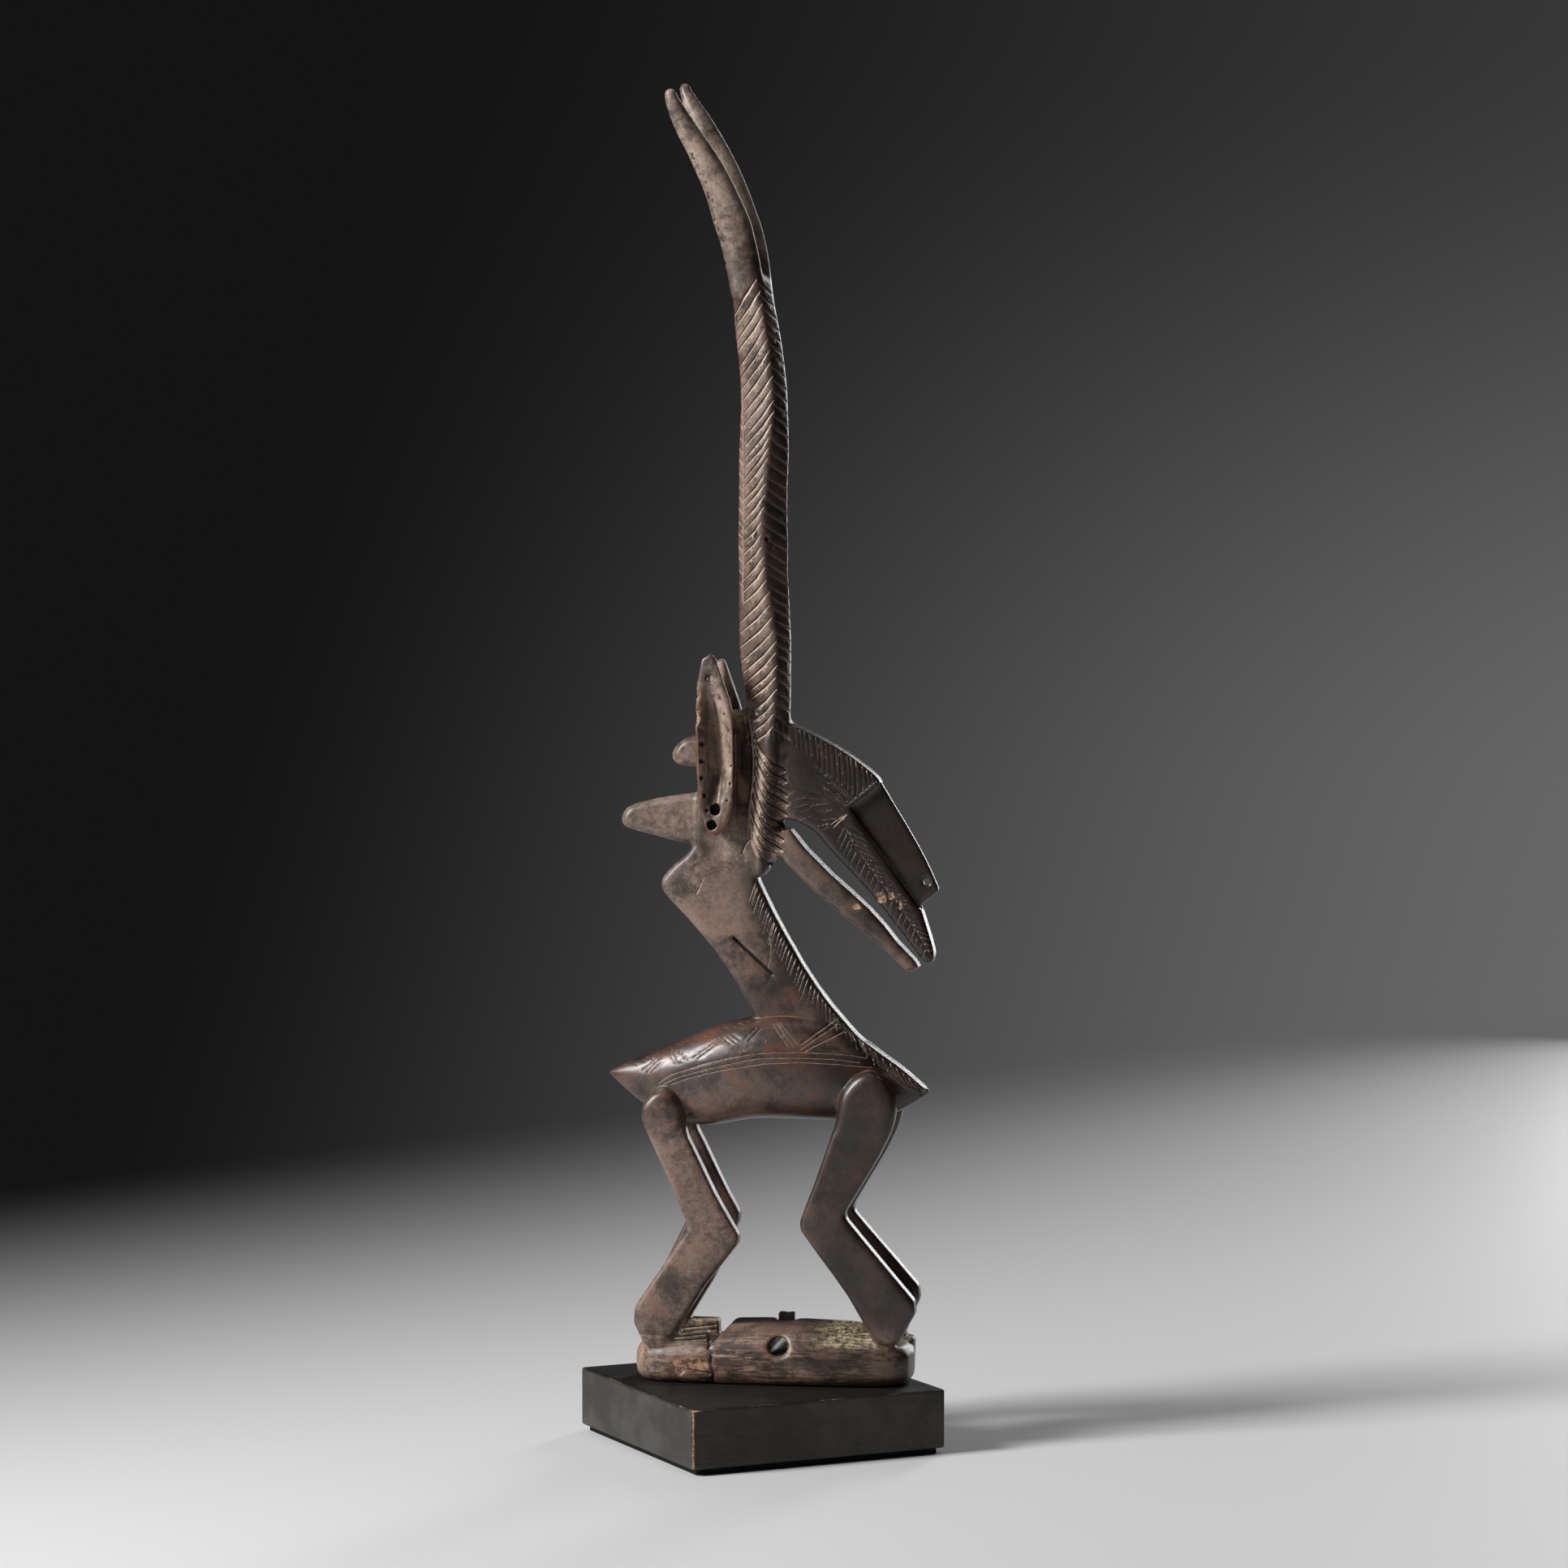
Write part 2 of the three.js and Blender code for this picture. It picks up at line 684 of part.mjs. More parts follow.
const hornFoot = 588;
const hornTip = 702;
const hornStations = 10;
const hornSides = 8;
const hornHalfDepth = curve(
  [588, 9.8], [628, 10.4], [645, 9.2], [665, 8.1], [683, 6.6], [694, 4.9], [700, 2.9],
  [702, 1.2],
);
const nearHorn = {
  rise: 0,
  middle: curve(
    [588, -5.2], [609, -8.5], [628, -13.1], [645, -19], [665, -28.3], [683, -38.8],
    [695, -44.8], [702, -47.2],
  ),
};
const farHorn = {
  rise: 7,
  middle: curve(
    [588, -3], [614, -6.8], [634, -12.6], [652, -18.6], [672, -27.4], [690, -36.6], [702, -43],
    [709, -46],
  ),
};

function horn(side) {
  const { rise, middle } = side < 0 ? nearHorn : farHorn;
  const rings = Array.from({ length: hornStations + 1 }, (_, i) => {
    const share = (i / hornStations) ** 1.4;
    const place = THREE.MathUtils.lerp(hornTip, hornFoot, share);
    const z = (place + rise * (1 - share)) * part;
    const spread = THREE.MathUtils.lerp(hornTipSpread, beamWidth - hornThickness, Math.min(1, share * 1.15));
    const depth = hornHalfDepth(place * part);
    const thickness = Math.min(hornThickness / 2, depth * 0.95);
    return oval(hornSides, 2, (u, v) => new THREE.Vector3(
      middle(z) + u * depth,
      (side * spread) / 2 + v * thickness,
      z,
    ));
  });
  return loft(rings);
}

// The whole carving

function carving() {
  const forms = union([
    baseBlock(),
    legs(),
    toes(),
    spindle(),
    neck(),
    headPlate(),
    lowerJaw(),
    headBlock(),
    snout(),
    blade(),
    beam(),
    ...sides.map(horn),
  ]);
  const [holeFrom, holeTo] = sides.map((side) => spot(91.6, side * headThickness, 273.4));
  const panelHole = pin(holeFrom, holeTo, panelHoleDiameter / 2, 10);
  const cutters = sides.flatMap((side) => [
    panelCut(side),
    ...headCuts(side),
    ...neckCuts(side),
    ...flankCuts(side),
  ]);
  const carved = cutters.reduce((sum, cutter) => sum.subtract(cutter), forms.subtract(panelHole));
  const whole = carved.decompose().filter((body) => body.volume() > grooveWidth ** 3);
  return union([...whole, ...sides.map(ear)]);
}

// Peg: it stands in a pocket that stops short of the tie hole

const pegX = 13.2 * part;
const pegY = 9;
const pegSeat = 0.7 * (domeHeight - tieHoleZ - tieHoleDiameter / 2);

function pegBlank(grow) {
  const foot = domeHeight - pegSeat - grow;
  const height = domeHeight + pegRise - foot;
  const blank = new THREE.BoxGeometry(pegLength + 2 * grow, pegWidth + 2 * grow, height);
  blank.translate(pegX, pegY, foot + height / 2);
  return solid(blank);
}

// Plinth

function plinthBlock() {
  const half = plinthSide / 2 - plinthChamfer;
  const square = new THREE.Shape();
  const reach = plinthSide / 2;
  const corners = [[1, -1], [1, 1], [-1, 1], [-1, -1]];
  corners.forEach(([x, y], i) => {
    const ends = [[x * reach, y * half], [x * half, y * reach]];
    if (i % 2 === 0) ends.reverse();
    ends.forEach(([px, py], k) => (i + k === 0 ? square.moveTo(px, py) : square.lineTo(px, py)));
  });
  const geometry = new THREE.ExtrudeGeometry(square, {
    depth: plinthHeight - 2 * plinthChamfer,
    bevelThickness: plinthChamfer,
    bevelSize: plinthChamfer,
    bevelOffset: -plinthChamfer,
    bevelSegments: 1,
  });
  geometry.translate(0, 0, plinthChamfer);
  return solid(geometry);
}

function pad() {
  const side = plinthSide - 2 * padInset;
  const geometry = new THREE.BoxGeometry(side, side, padThickness);
  geometry.translate(0, 0, padThickness / 2);
  return solid(geometry);
}

// Assembly

const stand = new THREE.Group();
stand.rotation.z = plinthTurn;
const felt = mesh("plinth_pad", pad(), 0x23211f, 0.95);
const plinth = mesh("plinth", plinthBlock(), 0x1d1b1a, 0.55);
plinth.position.z = padThickness + restGap;
stand.add(felt, plinth);

const crest = new THREE.Group();
crest.position.z = padThickness + plinthHeight + 2 * restGap;
crest.add(
  mesh("headdress", carving().subtract(pegBlank(pegClearance)), 0x4a3226, 0.5),
  mesh("fastening_peg", pegBlank(0), 0x2c211b, 0.7),
);

const object = new THREE.Group();
object.add(stand, crest);

export default object;
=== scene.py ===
import math

import bmesh
import bpy
import numpy as np
from mathutils import Matrix, Vector
from mathutils.bvhtree import BVHTree


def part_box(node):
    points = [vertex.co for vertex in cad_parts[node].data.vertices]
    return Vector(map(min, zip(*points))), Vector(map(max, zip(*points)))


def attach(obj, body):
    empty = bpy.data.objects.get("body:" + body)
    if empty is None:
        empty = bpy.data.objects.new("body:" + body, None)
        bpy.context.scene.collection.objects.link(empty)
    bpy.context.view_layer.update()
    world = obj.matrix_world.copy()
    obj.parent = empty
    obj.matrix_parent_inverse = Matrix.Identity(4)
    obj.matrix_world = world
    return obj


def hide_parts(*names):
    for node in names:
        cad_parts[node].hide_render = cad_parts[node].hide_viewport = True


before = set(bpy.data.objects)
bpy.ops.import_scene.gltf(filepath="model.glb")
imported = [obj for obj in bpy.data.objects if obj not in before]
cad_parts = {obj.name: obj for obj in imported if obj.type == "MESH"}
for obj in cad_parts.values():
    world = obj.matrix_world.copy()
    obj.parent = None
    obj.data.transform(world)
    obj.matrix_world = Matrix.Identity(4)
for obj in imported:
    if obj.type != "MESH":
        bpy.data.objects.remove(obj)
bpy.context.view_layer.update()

# Felt pad
# A square of black wool felt, three millimetres thick, cut a little smaller than the
# plinth and glued under it so that the wood doesn't touch the shelf. Its cut edge is soft.

MM = 0.001
PLINTH_TURN = math.radians(34.6)
PLINTH_SIDE = 150 * MM
PAD_INSET = 3.5 * MM


def add(name, data):
    """A new object in the scene."""
    made = bpy.data.objects.new(name, data)
    bpy.context.scene.collection.objects.link(made)
    return made


def placed(name, shape):
    """The finished bmesh as an object in the scene."""
    mesh = bpy.data.meshes.new(name)
    shape.to_mesh(mesh)
    shape.free()
    return add(name, mesh)


def new_piece(name, shape):
    """The finished bmesh as a named piece on the carving's body, shaded smooth."""
    piece = placed(name, shape)
    piece.data.shade_smooth()
    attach(piece, "root")
    return piece


def eased_block(low, high, ease, segments, cuts):
    """A block between two corners with rounded edges, its faces divided for wear."""
    shape = bmesh.new()
    bmesh.ops.create_cube(shape, size=1)
    bmesh.ops.scale(shape, vec=high - low, verts=shape.verts)
    bmesh.ops.translate(shape, vec=(high + low) / 2, verts=shape.verts)
    bmesh.ops.bevel(
        shape, geom=shape.edges, offset=ease, offset_type="OFFSET", affect="EDGES",
        segments=segments, profile=0.5, material=-1,
    )
    long_edges = [e for e in shape.edges if e.calc_length() > 4 * ease]
    if cuts:
        bmesh.ops.subdivide_edges(shape, edges=long_edges, cuts=cuts, use_grid_fill=True)
    return shape


def feed(tree, node, sockets):
    """Each socket is given its value, or linked to what is given."""
    for name, value in sockets.items():
        if isinstance(value, bpy.types.NodeSocket):
            tree.links.new(value, node.inputs[name])
        else:
            node.inputs[name].default_value = value


def put(tree, kind, sockets=None, **settings):
    """A shader node with its settings, its sockets fed."""
    made = tree.nodes.new("ShaderNode" + kind)
    for name, value in settings.items():
        setattr(made, name, value)
    feed(tree, made, sockets or {})
    return made


def sums(tree, operation, first, second=0.0, clamp=False):
    return put(tree, "Math", {0: first, 1: second}, operation=operation, use_clamp=clamp).outputs[0]


def times(tree, first, second):
    return sums(tree, "MULTIPLY", first, second)


def rest(tree, share):
    """What a share leaves of one."""
    return sums(tree, "SUBTRACT", 1.0, share)


def fade(tree, value, start, end):
    """0 before start, 1 after end, smooth between."""
    made = put(
        tree, "MapRange", {0: value, 1: start, 2: end, 3: 0.0, 4: 1.0},
        interpolation_type="SMOOTHSTEP",
    )
    return made.outputs[0]


def blend(tree, share, under, over):
    """The colour `over` laid on `under` by a share."""
    made = put(tree, "Mix", {0: share, 6: under, 7: over}, data_type="RGBA")
    return made.outputs[2]


def tone(*red_green_blue):
    """A colour from its 0 to 255 screen values."""
    levels = [v / 255 for v in red_green_blue]
    return (*[v / 12.92 if v < 0.04045 else ((v + 0.055) / 1.055) ** 2.4 for v in levels], 1.0)


def speckle(tree, place, scale, detail=4.0, roughness=0.55, distortion=0.0):
    """Uneven natural variation, about 0.3 to 0.7, at the given scale per metre."""
    made = put(
        tree, "TexNoise",
        {"Vector": place, "Scale": scale, "Detail": detail, "Roughness": roughness,
         "Distortion": distortion},
    )
    return made.outputs[0]


def stretched(tree, place, scale=(1, 1, 1), turn=(0, 0, 0)):
    """A place turned and scaled, so that a pattern on it is drawn out along its grain."""
    return put(tree, "Mapping", {"Vector": place, "Rotation": turn, "Scale": scale}).outputs[0]


def new_material(name):
    material = bpy.data.materials.new(name)
    material.use_nodes = True
    tree = material.node_tree
    shader = tree.nodes["Principled BSDF"]
    place = put(tree, "TexCoord").outputs["Object"]
    return material, tree, shader, place


def bumps(tree, shader, height, depth, strength=1.0):
    made = put(tree, "Bump", {"Height": height, "Distance": depth, "Strength": strength})
    tree.links.new(made.outputs[0], shader.inputs["Normal"])


def felt_material():
    material, tree, shader, place = new_material("black_wool_felt")
    fibres = speckle(tree, place, 2200, 6, 0.7, 1.5)
    patches = speckle(tree, place, 90, 3)
    shade = blend(tree, fade(tree, fibres, 0.35, 0.7), tone(20, 19, 19), tone(52, 50, 48))
    colour = blend(tree, fade(tree, patches, 0.5, 0.75), shade, tone(38, 36, 33))
    feed(tree, shader, {"Base Color": colour, "Roughness": 0.95, "Specular IOR Level": 0.15})
    bumps(tree, shader, fibres, 0.4 * MM)
    return material


def square_on_plinth(node, side):
    """The lower and upper corners of a square piece before it is turned with the plinth."""
    low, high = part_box(node)
    return Vector((-side / 2, -side / 2, low.z)), Vector((side / 2, side / 2, high.z))


turned = Matrix.Rotation(PLINTH_TURN, 4, "Z")
felt = eased_block(*square_on_plinth("plinth_pad", PLINTH_SIDE - 2 * PAD_INSET), 0.5 * MM, 2, 40)
bmesh.ops.transform(felt, matrix=turned, verts=felt.verts)
felt_pad = new_piece("felt_pad", felt)
felt_pad.data.materials.append(felt_material())
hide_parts("plinth_pad")

# Plinth
# A square block of wood, stained and painted satin black, its edges eased by a plane. The
# paint has rubbed through to bare wood at the corners and along the edges nearest the hand.

PLINTH_EASE = 1.6 * MM
RUB_REACH = 0.55 * MM
RUB_RAGGED = 2.2 * MM
NEAR_CORNER = (1 * MM, 7 * MM)
RUB_EDGE = (-0.4 * MM, 0.6 * MM)


def rubbed_edges_group():
    """Shader group: distance from a box's nearest edge as a ragged mask of rubbed paint."""
    group = bpy.data.node_groups.new("rubbed_edges", "ShaderNodeTree")
    for name, kind in [("Place", "Vector"), ("Reach", "Float"), ("Ragged", "Float")]:
        group.interface.new_socket(name, in_out="INPUT", socket_type="NodeSocket" + kind)
    group.interface.new_socket("Rubbed", in_out="OUTPUT", socket_type="NodeSocketFloat")
    given = group.nodes.new("NodeGroupInput")
    result = group.nodes.new("NodeGroupOutput")
    axes = put(group, "SeparateXYZ", {0: given.outputs["Place"]})
    half = PLINTH_SIDE / 2
    gaps = [
        sums(group, "SUBTRACT", half, sums(group, "ABSOLUTE", axes.outputs[0])),
        sums(group, "SUBTRACT", half, sums(group, "ABSOLUTE", axes.outputs[1])),
        sums(group, "SUBTRACT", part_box("plinth")[1].z, axes.outputs[2]),
    ]
    total = sums(group, "ADD", sums(group, "ADD", gaps[0], gaps[1]), gaps[2])
    least = sums(group, "MINIMUM", sums(group, "MINIMUM", gaps[0], gaps[1]), gaps[2])
    most = sums(group, "MAXIMUM", sums(group, "MAXIMUM", gaps[0], gaps[1]), gaps[2])
    gap = sums(group, "SUBTRACT", sums(group, "SUBTRACT", total, least), most)
    ragged = speckle(group, given.outputs["Place"], 420, 6, 0.7)
    patches = speckle(group, given.outputs["Place"], 38, 2)
    wander = times(group, sums(group, "SUBTRACT", ragged, 0.5), given.outputs["Ragged"])
    spread = times(group, fade(group, patches, 0.45, 0.72), given.outputs["Reach"])
    corner = sums(group, "MAXIMUM", *[
        sums(group, "ABSOLUTE", sums(group, "ADD", axes.outputs[i], half)) for i in (0, 1)
    ])
    handled = times(group, rest(group, fade(group, corner, *NEAR_CORNER)), RUB_REACH)
    spread = sums(group, "ADD", spread, handled)
    edge = sums(group, "SUBTRACT", sums(group, "ADD", gap, wander), spread)
    group.links.new(rest(group, fade(group, edge, *RUB_EDGE)), result.inputs["Rubbed"])
    return group


def plinth_material():
    material, tree, shader, place = new_material("painted_plinth_wood")
    along = stretched(tree, place, turn=(0, 0, -PLINTH_TURN))
    grain = speckle(tree, stretched(tree, along, (0.06, 1, 1)), 900, 5, 0.6, 0.4)
    cloud = speckle(tree, along, 30, 5, 0.6)
    fine = speckle(tree, along, 1500, 3, 0.6)
    mask = put(
        tree, "Group", {"Place": along, "Reach": RUB_REACH, "Ragged": RUB_RAGGED},
        node_tree=rubbed_edges_group(),
    ).outputs[0]
    black = blend(tree, fade(tree, cloud, 0.4, 0.65), tone(50, 48, 45), tone(70, 67, 63))
    # The top is painted nearly black against the sides, a painted shade for the little light it takes
    level = put(tree, "SeparateXYZ", {0: place}).outputs["Z"]
    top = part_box("plinth")[1].z
    on_top = fade(tree, level, top - PLINTH_EASE, top - 0.3 * MM)
    black = blend(tree, times(tree, on_top, 0.95), black, tone(15, 14, 13))
    black = blend(tree, fade(tree, grain, 0.55, 0.75), black, tone(72, 66, 60))
    bare = blend(tree, fade(tree, grain, 0.4, 0.6), tone(132, 78, 50), tone(206, 160, 126))
    scuffs = speckle(tree, stretched(tree, along, (1, 0.14, 1)), 260, 7, 0.75, 0.3)
    scuffs = fade(tree, scuffs, 0.64, 0.75)
    dusty = blend(tree, times(tree, scuffs, 0.5), black, tone(120, 112, 102))
    colour = blend(tree, mask, dusty, bare)
    matt = sums(tree, "ADD", 0.42, times(tree, fine, 0.24))
    matt = sums(tree, "ADD", matt, times(tree, mask, 0.2))
    feed(tree, shader, {"Base Color": colour, "Roughness": matt, "Specular IOR Level": 0.35})
    height = sums(tree, "ADD", times(tree, grain, 0.5), times(tree, fine, 0.3))
    bumps(tree, shader, sums(tree, "SUBTRACT", height, mask), 0.12 * MM)
    return material


block = eased_block(*square_on_plinth("plinth", PLINTH_SIDE), PLINTH_EASE, 4, 30)
bmesh.ops.transform(block, matrix=turned, verts=block.verts)
plinth_block = new_piece("plinth_block", block)
plinth_block.data.materials.append(plinth_material())
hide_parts("plinth")

# Headdress
# An antelope crest figure carved from one block of dense wood with adze and knife: base, legs, body, neck,
# head, ears and the joined horns. Use and oil have left a dark patina, rubbed reddish on the high places,
# with pale dust in the cuts and bare wood at the chips. Over it lie painted light and shade: on the cut
# walls, in holes and sheltered corners, and on the sides turned towards or away from the main light.

VOXEL = 0.68 * MM
MOST_TRIANGLES = 196000
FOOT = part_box("headdress")[0].z
drawn = np.random.default_rng(7).uniform


def applied(piece):
    """The mesh that a piece's modifiers make of it."""
    bpy.context.view_layer.update()
    seen = bpy.context.evaluated_depsgraph_get()
    return bpy.data.meshes.new_from_object(piece.evaluated_get(seen))


# The roughed-out blank becomes one closed skin of small even faces
shape = bmesh.new()
shape.from_mesh(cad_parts["headdress"].data)
bmesh.ops.remove_doubles(shape, verts=shape.verts, dist=1e-6)
blank = placed("carving_blank", shape)
skin = blank.modifiers.new("skin", "REMESH")
skin.mode = "VOXEL"
skin.voxel_size = VOXEL
dense = applied(blank)
bpy.data.objects.remove(blank)

count = len(dense.vertices)
edges = np.empty(len(dense.edges) * 2, np.int64)
dense.edges.foreach_get("vertices", edges)
edges = edges.reshape(-1, 2)
ends = np.concatenate([edges[:, 0], edges[:, 1]])
others = np.concatenate([edges[:, 1], edges[:, 0]])
neighbours = np.maximum(np.bincount(ends, minlength=count), 1)

# Places are worked in millimetres above the carving's own underside
co = np.empty(count * 3)
dense.vertices.foreach_get("co", co)
co = (co.reshape(-1, 3) - (0, 0, FOOT)) * 1000


def around(values, rounds=1):
    """Each vertex's mean over its neighbours, taken again in each round."""
    for _ in range(rounds):
        columns = values.reshape(count, -1).T
        means = [np.bincount(ends, c[others], minlength=count) / neighbours for c in columns]
        values = np.stack(means, -1).reshape(values.shape)
    return values


def outward():
    """The normal at each vertex of the skin as it stands."""
    dense.vertices.foreach_set("co", (co / 1000 + (0, 0, FOOT)).ravel())
    dense.update()
    normals = np.empty(count * 3, np.float32)
    dense.vertex_normals.foreach_get("vector", normals)
    return normals.reshape(-1, 3).astype(float)


def step(value, start, end):
    """0 before start, 1 after end, smooth between, for arrays."""
    share = np.clip((value - start) / (end - start), 0, 1)
    return share * share * (3 - 2 * share)


def within(value, low, high):
    """Where a value lies between two others."""
    return (value > low) & (value < high)


def curve(*points):
    """A smooth curve through points given as [place, value]."""
    places, values = np.array(points, float).T
    slopes = np.gradient(values, places)

    def at(place):
        place = np.clip(place, places[0], places[-1])
        i = np.clip(np.searchsorted(places, place) - 1, 0, len(places) - 2)
        width = places[i + 1] - places[i]
        t = (place - places[i]) / width
        start, end = values[i], values[i + 1]
        return (
            start * (2 * t**3 - 3 * t**2 + 1) + end * (3 * t**2 - 2 * t**3)
            + slopes[i] * width * (t**3 - 2 * t**2 + t) + slopes[i + 1] * width * (t**3 - t**2)
        )
    return at


def unevenness(places, size, seed):
    """Smooth wandering values from -1 to 1 over a lattice of the given size in millimetres."""
    lattice = np.random.default_rng(seed).uniform(-1, 1, 4096)
    cell = np.floor(places / size).astype(np.int64)
    share = places / size - cell
    share = share * share * (3 - 2 * share)
    total = np.zeros(len(places))
    for corner in np.ndindex(2, 2, 2):
        key = (cell + corner) @ np.array([73856093, 19349663, 83492791])
        weight = np.prod(np.where(corner, share, 1 - share), axis=1)
        total += weight * lattice[np.bitwise_and(key ^ (key >> 9), 4095)]
    return total


def from_line(x, z, a, b):
    """The share of the way from a to b beside each place, and its distance from that line."""
    (ax, az), (bx, bz) = a, b
    dx, dz = bx - ax, bz - az
    t = np.clip(((x - ax) * dx + (z - az) * dz) / (dx * dx + dz * dz), 0, 1)
    return t, np.hypot(x - ax - t * dx, z - az - t * dz)


def inside_gap(x, z, corners):
    """Distance in from an outline's edge, negative outside it."""
    points = np.array(corners, float)
    nearest = np.full(x.shape, 1e9)
    odd = np.zeros(x.shape, bool)
    for a, b in zip(points, np.roll(points, -1, 0)):
        dx, dz = b - a
        nearest = np.minimum(nearest, from_line(x, z, a, b)[1])
        if dz:
            odd ^= ((a[1] > z) != (b[1] > z)) & (x < a[0] + (z - a[1]) / dz * dx)
    return np.where(odd, nearest, -nearest)


x, y, z = co.T
reach = np.abs(y)

# The shallow cuts of the blank's flat faces are filled first, and cut again finely below
NECK = [
    (93, 159.5), (79, 171.5), (65.2, 181.1), (49.9, 193.7), (28.8, 220.2), (10.4, 251.1),
    (-1.8, 275.5), (-2, 292), (-37, 293), (-46.8, 281.8), (-53, 274.5), (-53, 267),
    (-37.3, 250.4), (-17.6, 226.2), (-2.8, 200.2), (-4, 180), (60, 168),
]
HEAD = [
    (-4, 352), (4, 361), (15.3, 360.2), (41.3, 347.4), (62.8, 332.5), (67.3, 326), (49.8, 313.5),
    (87.2, 259), (92.3, 248.9), (96, 235.5), (94.8, 229.3), (90.6, 229.8), (82.5, 240.3),
    (62.6, 265.6), (38.8, 291), (31.2, 299.7), (21.4, 305.5), (15, 307), (-4, 300),
]
NECK_HALF, HEAD_HALF = 9.0, 8.0
NECK_FLOOR, HEAD_FLOOR = 4.2, 6.9
for corners, half, floor in [(NECK, NECK_HALF, NECK_FLOOR), (HEAD, HEAD_HALF, HEAD_FLOOR)]:
    flat = (inside_gap(x, z, corners) > 2.2) & (reach < half + 0.1) & (reach > floor)
    co[flat, 1] = np.sign(y[flat]) * half
x, y, z = co.T
reach = np.abs(y)

# The near hind toe is cut lower towards its ankle
BASE_TOP, TOE_TALL = 21, 7
near_toe = (y < -8) & (z > BASE_TOP) & (x < -25) & (x > 0.616 * (z - 19) - 47.8)
toe_top = np.minimum(25.6 + 0.213 * (x + 43.6), 28.2)
co[near_toe, 2] = BASE_TOP + (z - BASE_TOP)[near_toe] * (toe_top[near_toe] - BASE_TOP) / TOE_TALL
x, y, z = co.T

# Then the whole is worked smooth, most on the beam and the body, least at the head's edges
EARS_TOP, HORNS_PART = 402, 602
on_beam = (z > EARS_TOP) | ((x > -9) & (z > 345)) | ((reach > 9.8) & (x > -9.5) & (z > 283))
on_beam &= (z < HORNS_PART) & ~((x > 17.5) & (z < 365))
on_ear = (x < -9) & within(z, 292, EARS_TOP) & (reach > 7.2)
on_body = within(z, 136, 204) & within(x, -88, 96)
on_neck = (z >= 200) & (z < 290) & (reach < 9.3) & (x < 35) & (inside_gap(x, z, NECK) > -1)
softness = np.full(count, 1.1)
softness[z < 34] = 1.9
softness[within(z, 20, 33) & within(x, -46, -24)] = 0.9
softness[within(z, 34, 136)] = 1.2
softness[on_body] = 2.3
softness[within(z, 138, 178) & (reach > 14) & ((x < -34) | (x > 41))] = 3.3
softness[on_neck] = 2.5
softness[on_ear] = 1.0
softness[z > HORNS_PART] = 2.6
softness[z > 690] = 1.6
softness[on_beam] = 3.1
softness = around(softness, 8)
ROUNDS = 44
softest = VOXEL * 1000 * math.sqrt(ROUNDS / 2)
worked = np.clip(softness / softest, 0, 1)[:, None] ** 2
for _ in range(ROUNDS):
    co = co + worked * (around(co) - co)
co += outward() * (np.interp(softness, [1.1, 2.3, 3.1], [0.06, 0.3, 0.4]))[:, None]


def trued(near, across_low, across_high, up_low, up_high, power, share):
    """Vertices close to an oval section across the given ranges are moved onto it."""
    first, second = co[:, near[0]], co[:, near[1]]
    middle = ((across_low + across_high) / 2, (up_low + up_high) / 2)
    half = (np.maximum(across_high - across_low, 1) / 2, np.maximum(up_high - up_low, 1) / 2)
    u, v = (first - middle[0]) / half[0], (second - middle[1]) / half[1]
    ratio = np.maximum(np.abs(u) ** power + np.abs(v) ** power, 1e-3) ** (1 / power)
    off = (ratio - 1) * np.hypot(first - middle[0], second - middle[1]) / np.maximum(ratio, 0.2)
    moved = share * (1 - step(np.abs(off), 1.4, 2.8))
    co[:, near[0]] += moved * (first - middle[0]) * (1 / ratio - 1)
    co[:, near[1]] += moved * (second - middle[1]) * (1 / ratio - 1)


# The body is trued to its own round section between the legs and the neck
BODY_TOP = curve(
    (-85.6, 167.5), (-62, 177.5), (-38, 188), (-8, 198), (20, 201), (45, 195), (66, 178), (94.3, 159.5),
)
BODY_UNDERSIDE = curve(
    (-85.6, 166.5), (-63, 149), (-38, 139.3), (0, 143), (41, 143), (72, 146), (94.3, 158.5),
)
x, y, z = co.T
BODY_LONG, TWICE_ITS_MIDDLE, BODY_HALF_WIDTH = 179.9, 8.7, 22.5
slim = np.minimum(np.abs((2 * x - TWICE_ITS_MIDDLE) / BODY_LONG), 1) ** 1.9
width = BODY_HALF_WIDTH * (1 - slim) + 0.8
share = step(x, -80, -70) * (1 - step(x, 76, 88)) * within(z, 134, 206)
trued((1, 2), -width, width, BODY_UNDERSIDE(x), BODY_TOP(x), 2.3, share)

# So are the horns, each an oval that thins and leans towards its tip
HORN_FOOT, HORN_TOP, FAR_TALLER = 588, 702, 7
FOOT_APART, TIPS_APART = 7.5, 18
HORN_DEPTH = curve(
    (588, 9.8), (628, 10.4), (645, 9.2), (665, 8.1), (683, 6.3), (694, 4.3), (700, 3.0), (702, 2.6),
)
HORN_THICK = curve((588, 6.5), (640, 6.4), (662, 5.9), (680, 5.2), (692, 4.2), (700, 3.1), (702, 2.6))
NEAR_HORN = curve(
    (588, -5.2), (609, -8.5), (628, -13.1), (645, -19), (665, -28.3), (683, -38.8), (695, -44.8),
    (702, -47.2),
)
FAR_HORN = curve(
    (588, -3), (614, -6.8), (634, -12.6), (652, -18.6), (672, -27.4), (690, -36.6), (702, -43),
    (709, -46),
)
for side, lean, taller in ((-1, NEAR_HORN, 0), (1, FAR_HORN, FAR_TALLER)):
    x, y, z = co.T
    top = HORN_TOP + taller
    rise = (top - z) / (top - HORN_FOOT)
    level = HORN_TOP - rise * (HORN_TOP - HORN_FOOT)
    middle, deep, thick = lean(z), HORN_DEPTH(level), HORN_THICK(level)
    centre = side * (TIPS_APART + (FOOT_APART - TIPS_APART) * np.minimum(1, rise * 1.15))
    share = step(z, 616, 634) * (1 - step(z, top - 6, top - 2)) * (y * side > 2)
    trued((0, 1), middle - deep, middle + deep, centre - thick, centre + thick, 2, share)

